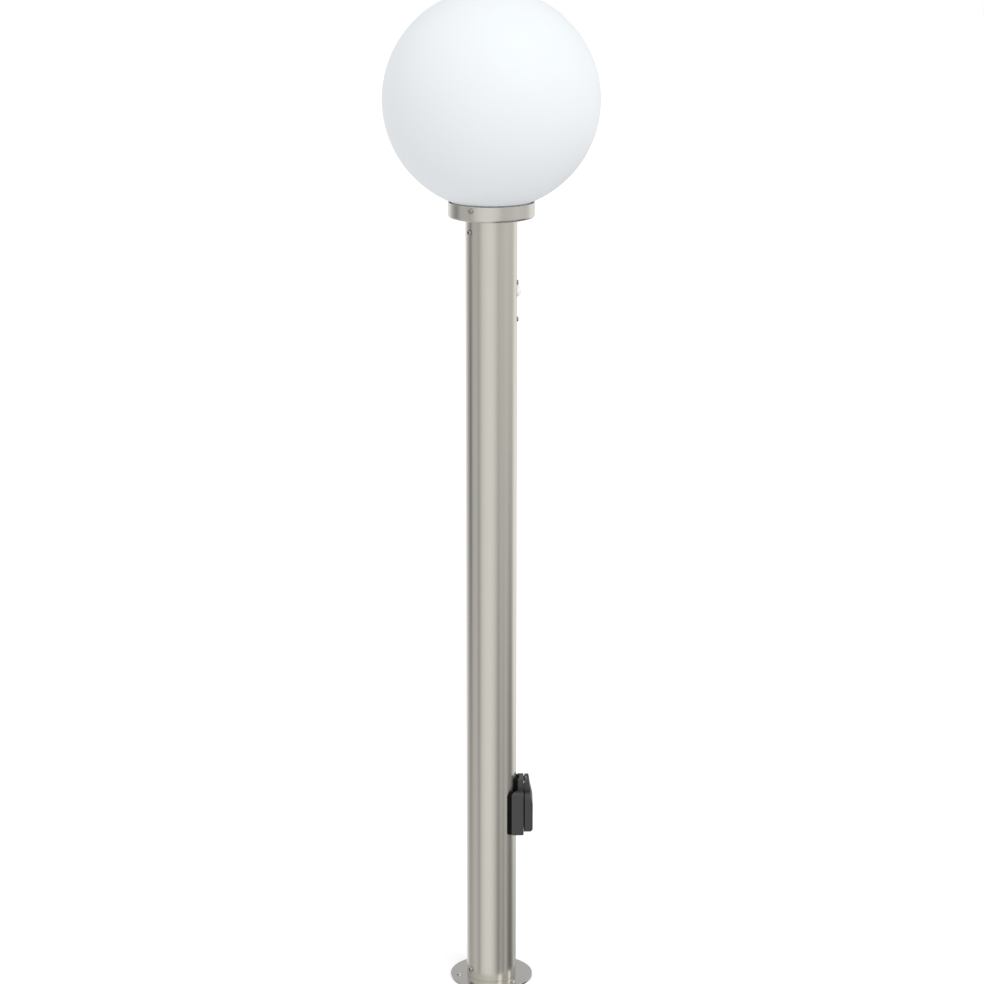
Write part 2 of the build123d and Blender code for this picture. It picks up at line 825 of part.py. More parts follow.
with BuildPart() as bulb_envelope:
    with BuildSketch(Plane.XZ):
        with BuildLine():
            Line((bulb_inner_neck_radius, bulb_cap_bottom), (bulb_neck_radius, bulb_cap_bottom))
            Line((bulb_neck_radius, bulb_cap_bottom), (bulb_neck_radius, bulb_cap_top))
            Spline(
                (bulb_neck_radius, bulb_cap_top),
                (bulb_radius, bulb_centre),
                tangents=((0, 1), (0, 1)),
            )
            RadiusArc((bulb_radius, bulb_centre), (0, bulb_centre + bulb_radius), -bulb_radius)
            Line((0, bulb_centre + bulb_radius), (0, bulb_centre + bulb_inner_radius))
            RadiusArc(
                (0, bulb_centre + bulb_inner_radius), (bulb_inner_radius, bulb_centre), bulb_inner_radius
            )
            Spline(
                (bulb_inner_radius, bulb_centre),
                (bulb_inner_neck_radius, bulb_cap_top),
                tangents=((0, -1), (0, -1)),
            )
            Line((bulb_inner_neck_radius, bulb_cap_top), (bulb_inner_neck_radius, bulb_cap_bottom))
        make_face()
    revolve(axis=Axis.Z)
bulb_envelope.part.label = "bulb_envelope"
export_step(bulb_envelope.part, "parts/bulb_envelope.step")

# Socket gasket and housing

with BuildPart() as socket_gasket:
    with BuildSketch(Plane.XY.offset(housing_bottom + gasket_inset)):
        Circle(saddle_radius)
        Circle(post_radius, mode=Mode.SUBTRACT)
    extrude(amount=housing_height + tower_rise - 2 * gasket_inset)
    with BuildSketch(Plane.YZ):
        with Locations((0, socket_height)):
            RectangleRounded(
                housing_width - 2 * slide_clearance,
                housing_height - 2 * gasket_inset,
                gasket_corner_radius,
            )
            Rectangle(
                tower_width - 2 * slide_clearance,
                tower_top - gasket_inset - socket_height,
                align=(Align.CENTER, Align.MIN),
            )
            Circle(cutout_radius, mode=Mode.SUBTRACT)
        with Locations(*socket_screw_places):
            Circle(socket_screw_thread / 2 + slide_clearance, mode=Mode.SUBTRACT)
    extrude(amount=saddle_radius + cut_overrun, mode=Mode.INTERSECT)
socket_gasket.part.label = "socket_gasket"
export_step(socket_gasket.part, "parts/socket_gasket.step")

pocket_back = housing_front - insert_plate_thickness

with BuildPart() as socket_housing:
    with BuildSketch(Plane.YZ):
        with Locations((0, socket_height)):
            RectangleRounded(housing_width, housing_height, housing_corner_radius)
    extrude(amount=housing_front)
    fillet(socket_housing.faces().sort_by(Axis.X)[-1].edges(), housing_edge_radius)
    with BuildSketch(Plane.YZ):
        with Locations((0, (socket_height + tower_top) / 2)):
            Rectangle(tower_width, tower_top - socket_height)
    extrude(amount=housing_front)
    fillet(
        socket_housing.edges().filter_by(Axis.Y).group_by(Axis.Z)[-1].sort_by(Axis.X)[-1],
        tower_corner_radius,
    )
    with BuildSketch(Plane.XY.offset(housing_bottom - cut_overrun)):
        Circle(saddle_radius)
    extrude(amount=housing_height + tower_rise + 2 * cut_overrun, mode=Mode.SUBTRACT)
    with BuildSketch(Plane.YZ.offset(pocket_back)):
        with Locations((0, socket_height)):
            RectangleRounded(
                insert_plate_width + 2 * slide_clearance,
                insert_plate_height + 2 * slide_clearance,
                insert_plate_corner_radius + slide_clearance,
            )
    extrude(amount=insert_plate_thickness + cut_overrun, mode=Mode.SUBTRACT)
    with Locations(facing_x(housing_front, 0, socket_height)):
        Hole(cup_radius + slide_clearance, depth=housing_front)
    with Locations(*[facing_x(housing_front, y, z) for y, z in socket_screw_places]):
        Hole(socket_screw_thread / 2 + slide_clearance, depth=housing_front)
    with BuildSketch(Plane.XZ):
        with Locations((pin_reach, pin_height)):
            Circle(barrel_diameter / 2)
        with Locations((pin_reach - pin_from_housing / 2, pin_height)):
            Rectangle(pin_from_housing, barrel_diameter)
    extrude(amount=knuckle_width / 2, both=True)
    with BuildSketch(Plane.XZ):
        with Locations((housing_front, pin_height)):
            Rectangle(
                2 * (pin_from_housing + barrel_diameter),
                barrel_diameter + cut_overrun,
                align=(Align.MIN, Align.CENTER),
            )
    extrude(amount=knuckle_width / 2 - knuckle_ear_width, both=True, mode=Mode.SUBTRACT)
    with BuildSketch(Plane.XZ):
        with Locations((pin_reach, pin_height)):
            Circle(pin_diameter / 2 + thread_clearance)
    extrude(amount=tower_width / 2, both=True, mode=Mode.SUBTRACT)
socket_housing.part.label = "socket_housing"
export_step(socket_housing.part, "parts/socket_housing.step")

# Socket insert and its screws

earth_slot_inner = carrier_size / 2 + earth_strip_gap - earth_slot_clearance
earth_slot_height = earth_strip_thickness + 2 * earth_slot_clearance
earth_slot_width = earth_strip_width + 2 * earth_slot_clearance

with BuildPart() as socket_insert:
    with BuildSketch(Plane.YZ.offset(pocket_back)):
        with Locations((0, socket_height)):
            RectangleRounded(insert_plate_width, insert_plate_height, insert_plate_corner_radius)
    extrude(amount=insert_plate_thickness)
    with BuildSketch(Plane.YZ.offset(cup_back)):
        with Locations((0, socket_height)):
            Circle(cup_radius)
    extrude(amount=housing_front - cup_back)
    with BuildSketch(Plane.YZ.offset(recess_bottom)):
        with Locations((0, socket_height)):
            Circle(recess_diameter / 2)
    extrude(amount=recess_depth, mode=Mode.SUBTRACT)
    chamfer(
        socket_insert.faces()
        .sort_by(Axis.X)[-1]
        .edges()
        .filter_by(GeomType.CIRCLE)
        .sort_by(SortBy.RADIUS)[-1],
        recess_edge_chamfer,
    )
    with BuildSketch(Plane.YZ.offset(recess_bottom)):
        with Locations((0, socket_height)):
            Circle(recess_diameter / 2 + recess_wall / 2)
            Rectangle(recess_diameter + recess_wall, rib_width, mode=Mode.INTERSECT)
            Rectangle(recess_diameter - 2 * rib_height, rib_width, mode=Mode.SUBTRACT)
    extrude(amount=recess_depth - rib_setback)
    with BuildSketch(Plane.YZ.offset(cup_back)):
        with Locations(*[(side, socket_height) for side in contact_places]):
            Circle(pin_hole_diameter / 2)
        for end in (-1, 1):
            slot_middle = socket_height + end * (earth_slot_inner + earth_slot_height / 2)
            with Locations((0, slot_middle)):
                Rectangle(earth_slot_width, earth_slot_height)
    extrude(amount=recess_floor, mode=Mode.SUBTRACT)
    with Locations(facing_x(recess_bottom, 0, socket_height)):
        CounterSinkHole(
            centre_screw_thread / 2 + slide_clearance,
            centre_screw_head / 2 + slide_clearance,
            depth=recess_floor + cut_overrun,
        )
    with Locations(*[facing_x(housing_front, y, z) for y, z in socket_screw_places]):
        CounterSinkHole(
            socket_screw_thread / 2 + slide_clearance,
            socket_screw_head / 2 + slide_clearance,
            depth=insert_plate_thickness + cut_overrun,
        )
socket_insert.part.label = "socket_insert"
export_step(socket_insert.part, "parts/socket_insert.step")

with BuildPart() as socket_screws:
    with Locations(*[facing_x(housing_front, y, z) for y, z in socket_screw_places]):
        add(
            countersunk_screw(
                socket_screw_thread,
                socket_screw_length,
                socket_screw_head,
                socket_screw_slot_width,
                socket_screw_slot_depth,
            )
        )
socket_screws.part.label = "socket_screws"
export_step(socket_screws.part, "parts/socket_screws.step")

# Contact carrier, contacts, earth strip and their screws

contact_back = carrier_back + carrier_back_wall
contact_front = cup_back - slide_clearance

with BuildPart() as contact_carrier:
    with BuildSketch(Plane.YZ.offset(carrier_back)):
        with Locations((0, socket_height)):
            RectangleRounded(carrier_size, carrier_size, carrier_corner_radius)
    extrude(amount=carrier_depth)
    with Locations(*[facing_x(cup_back, side, socket_height) for side in contact_places]):
        Hole(contact_diameter / 2 + slide_clearance, depth=carrier_depth - carrier_back_wall)
        Hole(small_hole_diameter / 2, depth=carrier_depth + cut_overrun)
    with Locations(facing_x(cup_back, 0, socket_height)):
        Hole(centre_screw_thread / 2 + thread_clearance, depth=centre_screw_length)
contact_carrier.part.label = "contact_carrier"
export_step(contact_carrier.part, "parts/contact_carrier.step")


def pin_contact(side):
    """A split brass sleeve for one plug pin, its screw hole at the back."""
    with BuildPart() as contact:
        with BuildSketch(Plane.YZ.offset(contact_back)):
            with Locations((side, socket_height)):
                Circle(contact_diameter / 2)
        extrude(amount=contact_front - contact_back)
        with Locations(facing_x(contact_front, side, socket_height)):
            Hole(contact_bore / 2, depth=contact_bore_depth)
            Hole(small_hole_diameter / 2, depth=contact_front - contact_back + cut_overrun)
        with BuildSketch(Plane.YZ.offset(contact_front)):
            with Locations((side, socket_height)):
                Rectangle(contact_slit, contact_diameter + cut_overrun)
        extrude(amount=-contact_bore_depth, mode=Mode.SUBTRACT)
    return contact.part


live_contact = pin_contact(contact_places[0])
live_contact.label = "live_contact"
export_step(live_contact, "parts/live_contact.step")

neutral_contact = pin_contact(contact_places[1])
neutral_contact.label = "neutral_contact"
export_step(neutral_contact, "parts/neutral_contact.step")

with BuildPart() as contact_screws:
    for side in contact_places:
        back_plane = Plane(origin=(carrier_back, side, socket_height), z_dir=(-1, 0, 0))
        with Locations(back_plane):
            add(small_screw(contact_screw_length))
contact_screws.part.label = "contact_screws"
export_step(contact_screws.part, "parts/contact_screws.step")

with BuildPart() as centre_screw:
    with Locations(facing_x(recess_bottom, 0, socket_height)):
        add(
            countersunk_screw(
                centre_screw_thread,
                centre_screw_length,
                centre_screw_head,
                socket_screw_slot_width,
                socket_screw_slot_depth,
            )
        )
centre_screw.part.label = "centre_screw"
export_step(centre_screw.part, "parts/centre_screw.step")

strip_inner = carrier_size / 2 + earth_strip_gap
strip_outer = strip_inner + earth_strip_thickness
strip_back = carrier_back - earth_strip_thickness
strip_front = recess_bottom + earth_strip_reach
tip_start = strip_front - earth_tip_length
tip_middle = strip_front - earth_tip_length / 2

with BuildPart() as earth_clip:
    with BuildSketch(Plane(origin=(0, 0, socket_height), x_dir=(1, 0, 0), z_dir=(0, -1, 0))):
        with BuildLine():
            Polyline(
                (carrier_back, 0),
                (carrier_back, strip_inner),
                (tip_start, strip_inner),
                (tip_middle, strip_inner - earth_tip_rise),
                (strip_front, strip_inner),
                (strip_front, strip_outer),
                (tip_middle, strip_outer - earth_tip_rise),
                (tip_start, strip_outer),
                (strip_back, strip_outer),
                (strip_back, 0),
                close=True,
            )
        make_face()
        mirror(about=Plane.XZ)
    extrude(amount=earth_strip_width / 2, both=True)
earth_clip.part.label = "earth_clip"
export_step(earth_clip.part, "parts/earth_clip.step")

# Lid, its seal, hinge pin and spring

lug_foot = lid_top - lid_wall / 2
barrel_radius = barrel_diameter / 2

with BuildPart() as lid_hollow:
    with BuildSketch(Plane.YZ.offset(lid_back)):
        with Locations((0, lid_middle)):
            RectangleRounded(
                lid_width - 2 * lid_wall, lid_height - 2 * lid_wall, lid_corner_radius - lid_wall
            )
    extrude(amount=lid_front - lid_front_wall - lid_back)
    with BuildSketch(Plane.XZ):
        with BuildLine():
            Polyline(
                (lid_front - lid_front_wall, lid_top - lid_slope_height),
                (lid_front - lid_front_wall - lid_slope_depth, lid_top),
                (lid_front - lid_front_wall, lid_top),
                close=True,
            )
        make_face()
    extrude(amount=lid_width, both=True, mode=Mode.SUBTRACT)

with BuildPart() as lid:
    with BuildSketch(Plane.YZ.offset(lid_back)):
        with Locations((0, lid_middle)):
            RectangleRounded(lid_width, lid_height, lid_corner_radius)
    extrude(amount=lid_front - lid_back)
    fillet(lid.faces().sort_by(Axis.X)[-1].edges(), lid_edge_radius)
    with BuildSketch(Plane.XZ):
        with BuildLine():
            Polyline(
                (lid_front, lid_bottom + lid_bevel_height),
                (lid_front - lid_bevel_depth, lid_bottom),
                (lid_front, lid_bottom),
                close=True,
            )
        make_face()
        with BuildLine():
            Polyline(
                (lid_front, lid_top - lid_slope_height),
                (lid_front - lid_slope_depth, lid_top),
                (lid_front, lid_top),
                close=True,
            )
        make_face()
    extrude(amount=lid_width, both=True, mode=Mode.SUBTRACT)
    with BuildSketch(Plane.XZ):
        with BuildLine():
            Polyline(
                (pin_reach - barrel_radius, pin_height),
                (pin_reach - barrel_radius, lid_top),
                (lid_back, lid_top),
                (lid_back, lug_foot),
                (pin_reach + lug_base_depth, pin_height - lug_base_drop),
                (pin_reach + lug_top_depth, pin_height + barrel_radius),
                (pin_reach, pin_height + barrel_radius),
            )
            RadiusArc(
                (pin_reach, pin_height + barrel_radius),
                (pin_reach - barrel_radius, pin_height),
                -barrel_radius,
            )
        make_face()
    extrude(amount=tower_width / 2, both=True)
    add(lid_hollow.part, mode=Mode.SUBTRACT)
    with BuildSketch(Plane.XZ):
        with Locations((pin_reach, pin_height)):
            Circle(slot_diameter / 2)
    extrude(amount=knuckle_width / 2 + body_clearance, both=True, mode=Mode.SUBTRACT)
    with BuildSketch(Plane.XZ):
        with Locations((pin_reach, pin_height)):
            Circle(pin_diameter / 2 + thread_clearance)
    extrude(amount=tower_width, both=True, mode=Mode.SUBTRACT)
lid.part.label = "lid"
export_step(lid.part, "parts/lid.step")

with BuildPart() as lid_seal:
    with BuildSketch(Plane.YZ.offset(seal_back)):
        with Locations((0, lid_middle)):
            RectangleRounded(lid_width, lid_height, lid_corner_radius)
            RectangleRounded(
                lid_width - 2 * lid_wall,
                lid_height - 2 * lid_wall,
                lid_corner_radius - lid_wall,
                mode=Mode.SUBTRACT,
            )
    extrude(amount=lid_seal_thickness)
lid_seal.part.label = "lid_seal"
export_step(lid_seal.part, "parts/lid_seal.step")

with BuildPart() as lid_pin:
    with BuildSketch(Plane.XZ):
        with Locations((pin_reach, pin_height)):
            Circle(pin_diameter / 2)
    extrude(amount=tower_width / 2 - pin_end_inset, both=True)
lid_pin.part.label = "lid_pin"
export_step(lid_pin.part, "parts/lid_pin.step")

spring_half_width = knuckle_width / 2 - knuckle_ear_width - spring_side_gap
spring_leg_reach = spring_outer_diameter / 2 - spring_wire / 2
with BuildPart() as lid_spring:
    with BuildSketch(Plane.XZ):
        with Locations((pin_reach, pin_height)):
            Circle(spring_outer_diameter / 2)
            Circle(spring_bore / 2, mode=Mode.SUBTRACT)
    extrude(amount=spring_half_width, both=True)
    with BuildSketch(Plane.XZ.offset(-spring_half_width)):
        with Locations((pin_reach, pin_height - spring_leg_reach)):
            Rectangle(spring_leg_length, spring_wire, align=(Align.MAX, Align.CENTER))
    extrude(amount=spring_wire)
    with BuildSketch(Plane.XZ.offset(spring_half_width)):
        with Locations((pin_reach + spring_leg_reach, pin_height)):
            Rectangle(spring_wire, spring_leg_length, align=(Align.CENTER, Align.MAX))
    extrude(amount=-spring_wire)
lid_spring.part.label = "lid_spring"
export_step(lid_spring.part, "parts/lid_spring.step")

# Motion sensor's lens

with BuildPart() as sensor_lens:
    with BuildSketch(Plane.XZ):
        with BuildLine():
            Polyline(
                (lens_back, lens_height + lens_bore_radius),
                (lens_back, lens_height + lens_flange_radius),
                (lens_back + lens_flange_thickness, lens_height + lens_flange_radius),
                (lens_back + lens_flange_thickness, lens_height + lens_radius),
                (post_radius, lens_height + lens_radius),
            )
            RadiusArc(
                (post_radius, lens_height + lens_radius),
                (post_radius + lens_rise, lens_height),
                lens_dome_radius,
            )
            Line(
                (post_radius + lens_rise, lens_height),
                (post_radius + lens_bore_rise, lens_height),
            )
            RadiusArc(
                (post_radius + lens_bore_rise, lens_height),
                (post_radius, lens_height + lens_bore_radius),
                -lens_dome_bore_radius,
            )
            Line(
                (post_radius, lens_height + lens_bore_radius),
                (lens_back, lens_height + lens_bore_radius),
            )
        make_face()
    revolve(axis=Axis((0, 0, lens_height), (1, 0, 0)))
    with BuildSketch(Plane.YZ.offset(lens_back)):
        with Locations(*[(0, z) for z in sensor_screw_heights]):
            Circle(spacer_diameter / 2 + body_clearance)
    extrude(amount=lens_flange_thickness, mode=Mode.SUBTRACT)
sensor_lens.part.label = "sensor_lens"
export_step(sensor_lens.part, "parts/sensor_lens.step")

# Sensor board and what it carries

with BuildPart() as sensor_board:
    with BuildSketch(Plane.YZ.offset(board_back)):
        with Locations((0, sensor_middle)):
            Rectangle(board_width, board_height)
        with Locations(*[(0, z) for z in sensor_screw_heights]):
            Circle(sensor_screw_hole / 2, mode=Mode.SUBTRACT)
    extrude(amount=board_thickness)
sensor_board.part.label = "sensor_board"
export_step(sensor_board.part, "parts/sensor_board.step")

with BuildPart() as motion_detector:
    with BuildSketch(Plane.YZ.offset(board_front)):
        with Locations((0, lens_height)):
            Circle(detector_diameter / 2)
    extrude(amount=detector_height)
    fillet(motion_detector.edges().group_by(Axis.X)[-1], detector_edge_radius)
motion_detector.part.label = "motion_detector"
export_step(motion_detector.part, "parts/motion_detector.step")

with BuildPart() as relay:
    with BuildSketch(Plane.YZ.offset(board_back)):
        with Locations((0, sensor_middle)):
            Rectangle(relay_width, relay_height)
    extrude(amount=-relay_depth)
relay.part.label = "relay"
export_step(relay.part, "parts/relay.step")

with BuildPart() as potentiometers:
    with BuildSketch(Plane.YZ.offset(board_front)):
        with Locations(*[(0, z) for z in dial_heights]):
            Rectangle(potentiometer_size, potentiometer_size)
    extrude(amount=potentiometer_depth)
    with Locations(*[facing_x(potentiometer_face, 0, z) for z in dial_heights]):
        Hole(potentiometer_bore / 2, depth=potentiometer_bore_depth)
potentiometers.part.label = "potentiometers"
export_step(potentiometers.part, "parts/potentiometers.step")


def sensor_dial(height):
    """A slotted setting dial with its stub in a potentiometer."""
    shaft_radius = potentiometer_bore / 2 - thread_clearance
    shaft_length = potentiometer_bore_depth
    knob_back = potentiometer_face + body_clearance
    knob_front = post_radius - dial_sink
    with BuildPart() as dial:
        with BuildSketch(Plane.YZ.offset(knob_back)):
            with Locations((0, height)):
                Circle(dial_diameter / 2)
        extrude(amount=knob_front - knob_back)
        with BuildSketch(Plane.YZ.offset(knob_front)):
            with Locations((0, height)):
                Rectangle(dial_slot_width, dial_diameter + cut_overrun)
        extrude(amount=-dial_slot_depth, mode=Mode.SUBTRACT)
        with BuildSketch(Plane.YZ.offset(knob_back)):
            with Locations((0, height)):
                Circle(shaft_radius)
        extrude(amount=-shaft_length)
    return dial.part


time_dial = sensor_dial(time_dial_height)
time_dial.label = "time_dial"
export_step(time_dial, "parts/time_dial.step")

lux_dial = sensor_dial(lux_dial_height)
lux_dial.label = "lux_dial"
export_step(lux_dial, "parts/lux_dial.step")

with BuildPart() as sensor_screws:
    with Locations(*[facing_x(post_radius, 0, z) for z in sensor_screw_heights]):
        add(
            keyed_screw(
                small_thread,
                sensor_screw_length,
                sensor_screw_head_diameter,
                sensor_screw_head_height,
                sensor_screw_key,
                sensor_screw_key_depth,
            )
        )
sensor_screws.part.label = "sensor_screws"
export_step(sensor_screws.part, "parts/sensor_screws.step")

spacer_front = math.sqrt(post_bore_radius**2 - (spacer_diameter / 2) ** 2) - spacer_end_gap
with BuildPart() as board_spacers:
    with BuildSketch(Plane.YZ.offset(board_front)):
        with Locations(*[(0, z) for z in sensor_screw_heights]):
            Circle(spacer_diameter / 2)
            Circle(spacer_bore / 2, mode=Mode.SUBTRACT)
    extrude(amount=spacer_front - board_front)
board_spacers.part.label = "board_spacers"
export_step(board_spacers.part, "parts/board_spacers.step")

with BuildPart() as board_nuts:
    with BuildSketch(Plane.YZ.offset(board_back)):
        with Locations(*[(0, z) for z in sensor_screw_heights]):
            RegularPolygon(board_nut_size / 2, 6, major_radius=False)
            Circle(small_hole_diameter / 2, mode=Mode.SUBTRACT)
    extrude(amount=-board_nut_height)
board_nuts.part.label = "board_nuts"
export_step(board_nuts.part, "parts/board_nuts.step")

# Wiring held inside the post


def held_wire(points, diameter, bend_radius):
    """A wire or cable along straight runs joined by bends of one radius."""
    with BuildPart() as wire:
        with BuildLine():
            route = FilletPolyline(*points, radius=bend_radius)
        with BuildSketch(Plane(origin=route @ 0, z_dir=route % 0)):
            Circle(diameter / 2)
        sweep()
    return wire.part


core_standoff = core_diameter / 2 + thread_clearance
core_reaches = [carrier_back - core_standoff, strip_back - core_standoff, carrier_back - core_standoff]
core_sides = [contact_places[0], 0, contact_places[1]]
core_tops = [
    socket_height - small_head_diameter / 2 - thread_clearance,
    socket_height,
    socket_height - small_head_diameter / 2 - thread_clearance,
]
with BuildPart() as socket_leads:
    for place, reach, side, top in zip(terminal_places, core_reaches, core_sides, core_tops):
        add(
            held_wire(
                [
                    (terminal_reach, place, block_top - core_start_depth),
                    (terminal_reach, place, top - 2 * core_lean_height),
                    (reach, side, top - core_lean_height),
                    (reach, side, top),
                ],
                core_diameter,
                core_bend_radius,
            )
        )
socket_leads.part.label = "socket_leads"
export_step(socket_leads.part, "parts/socket_leads.step")

sheath_reach = board_back - sheath_diameter / 2 - thread_clearance
sheath_back = bracket_face + sheath_diameter / 2 + slide_clearance
board_bottom = sensor_middle - board_height / 2
board_top = sensor_middle + board_height / 2
sensor_cable = held_wire(
    [
        (sheath_back, 0, block_top),
        (sheath_back, 0, board_bottom - sheath_crossing_drop),
        (sheath_reach, 0, board_bottom - sheath_crossing_drop + sheath_crossing_rise),
        (sheath_reach, 0, board_bottom + sheath_grip),
    ],
    sheath_diameter,
    sheath_bend_radius,
)
sensor_cable.label = "sensor_cable"
export_step(sensor_cable, "parts/sensor_cable.step")

lamp_cable = held_wire(
    [
        (sheath_reach, 0, board_top - sheath_grip),
        (sheath_reach, 0, board_top + sheath_head_drop / 2),
        (0, 0, nipple_bottom - sheath_head_drop / 2),
        (0, 0, nipple_top),
    ],
    sheath_diameter,
    sheath_bend_radius,
)
lamp_cable.label = "lamp_cable"
export_step(lamp_cable, "parts/lamp_cable.step")

earth_lead_end = bracket_face + small_head_height + core_standoff
earth_lead = held_wire(
    [
        (terminal_reach, 0, block_base_height + core_start_depth),
        (terminal_reach, 0, block_base_height - core_start_depth),
        (earth_lead_end, 0, earth_screw_height + core_start_depth),
        (earth_lead_end, 0, earth_screw_height),
    ],
    core_diameter,
    earth_lead_bend_radius,
)
earth_lead.label = "earth_lead"
export_step(earth_lead, "parts/earth_lead.step")
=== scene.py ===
"""A garden post with an opal globe, a lidded socket outlet and a motion sensor.

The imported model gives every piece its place. This script rebuilds the pieces whose
surfaces carry the look, gives each piece its finish, and sets up the studio and the
camera. Lengths are in metres and angles in degrees, unless a name says otherwise.
"""

import logging
import math
from dataclasses import dataclass
from enum import Enum
from functools import cache
from typing import Iterable, Mapping, Optional, Sequence, Union

import bmesh
import bpy
from mathutils import Matrix, Vector


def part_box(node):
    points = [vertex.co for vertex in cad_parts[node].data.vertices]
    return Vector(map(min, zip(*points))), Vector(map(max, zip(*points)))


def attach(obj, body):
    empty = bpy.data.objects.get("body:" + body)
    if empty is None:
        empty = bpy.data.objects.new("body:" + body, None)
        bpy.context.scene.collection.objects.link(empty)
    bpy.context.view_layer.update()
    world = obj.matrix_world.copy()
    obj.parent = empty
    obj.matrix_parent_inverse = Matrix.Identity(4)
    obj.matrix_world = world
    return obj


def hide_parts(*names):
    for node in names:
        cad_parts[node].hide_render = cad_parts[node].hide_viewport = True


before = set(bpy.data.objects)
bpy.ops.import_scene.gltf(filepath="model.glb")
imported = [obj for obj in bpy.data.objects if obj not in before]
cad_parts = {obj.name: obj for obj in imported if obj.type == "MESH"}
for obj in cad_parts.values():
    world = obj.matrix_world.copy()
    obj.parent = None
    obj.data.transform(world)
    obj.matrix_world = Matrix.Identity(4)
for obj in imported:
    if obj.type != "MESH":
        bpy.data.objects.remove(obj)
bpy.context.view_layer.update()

log = logging.getLogger("garden_post")

MM = 0.001
TINY = 1e-7
FULL_TURN = 2 * math.pi
FULL_DEGREES = 360.0
RIGHT_ANGLE = 90.0
FRONT = (1.0, 0.0, 0.0)
SHARP_ANGLE = math.radians(35.0)
WALL_TOLERANCE = 0.02 * MM
HOLE_SIDES = 48
WIRE_SMOOTHNESS = 4

Point = tuple[float, float]
Colour = tuple[float, float, float, float]
Triple = tuple[float, float, float]
Place = Union[Triple, Vector]
Feed = Union[float, Triple, Colour, "Signal", bpy.types.NodeSocket]


class Body(Enum):
    """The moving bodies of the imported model."""

    POST = "post"
    LID = "lid_body"
    TIME_DIAL = "time_dial_body"
    LUX_DIAL = "lux_dial_body"


class Grain(Enum):
    """Which way a brushed surface's lines run, as how finely each axis is sampled."""

    ROUND = (40.0, 40.0, 4200.0)
    LENGTHWISE = (3800.0, 3800.0, 30.0)
    NONE = (700.0, 700.0, 700.0)


class MixInput(Enum):
    """Socket numbers of a Mix node that blends colours."""

    FACTOR = 0
    FIRST = 6
    SECOND = 7
    RESULT = 2


@dataclass(frozen=True)
class Mottle:
    """Smooth noise: features a metre, finer layers and how strong the finer layers are."""

    scale: float
    detail: float = 2.0
    roughness: float = 0.5


class Signal:
    """A number that runs through a shader, written in ordinary arithmetic."""

    def __init__(self, nodes: "Nodes", socket: bpy.types.NodeSocket) -> None:
        """Keeps the tree for new Math nodes and the socket that carries the number."""
        self.nodes = nodes
        self.socket = socket

    def _math(self, operation: str, *terms: Feed) -> "Signal":
        """The result of one Math node on the terms, in order."""
        node = self.nodes.add("ShaderNodeMath", {"operation": operation}, dict(enumerate(terms)))
        return Signal(self.nodes, node.outputs[0])

    def __add__(self, other: Feed) -> "Signal":
        """This signal plus another."""
        return self._math("ADD", self, other)

    def __radd__(self, other: Feed) -> "Signal":
        """A number plus this signal."""
        return self._math("ADD", other, self)

    def __sub__(self, other: Feed) -> "Signal":
        """This signal less another."""
        return self._math("SUBTRACT", self, other)

    def __rsub__(self, other: Feed) -> "Signal":
        """A number less this signal."""
        return self._math("SUBTRACT", other, self)

    def __mul__(self, other: Feed) -> "Signal":
        """This signal times another."""
        return self._math("MULTIPLY", self, other)

    def __rmul__(self, other: Feed) -> "Signal":
        """A number times this signal."""
        return self._math("MULTIPLY", other, self)

    def __abs__(self) -> "Signal":
        """The signal without its sign."""
        return self._math("ABSOLUTE", self)

    def stripes(self, period: float) -> "Signal":
        """A saw from 0 to 1 that repeats with the period."""
        return self._math("FRACT", self._math("DIVIDE", self, period))

    def angle_with(self, other: "Signal") -> "Signal":
        """The angle, in radians, whose sine is this signal and whose cosine is the other."""
        return self._math("ARCTAN2", self, other)

    def centred(self, span: float) -> "Signal":
        """A signal of 0 to 1 made to lie evenly about 0, over a span."""
        return (self - 0.5) * span

    def between(self, low: float, high: float) -> "Signal":
        """Rises smoothly from 0 at low to 1 at high.

        Args:
            low: Where the rise starts.
            high: Where it ends.

        Returns:
            The smoothed signal.
        """
        settings = {"interpolation_type": "SMOOTHSTEP"}
        node = self.nodes.add("ShaderNodeMapRange", settings, {0: self, 1: low, 2: high})
        return Signal(self.nodes, node.outputs[0])


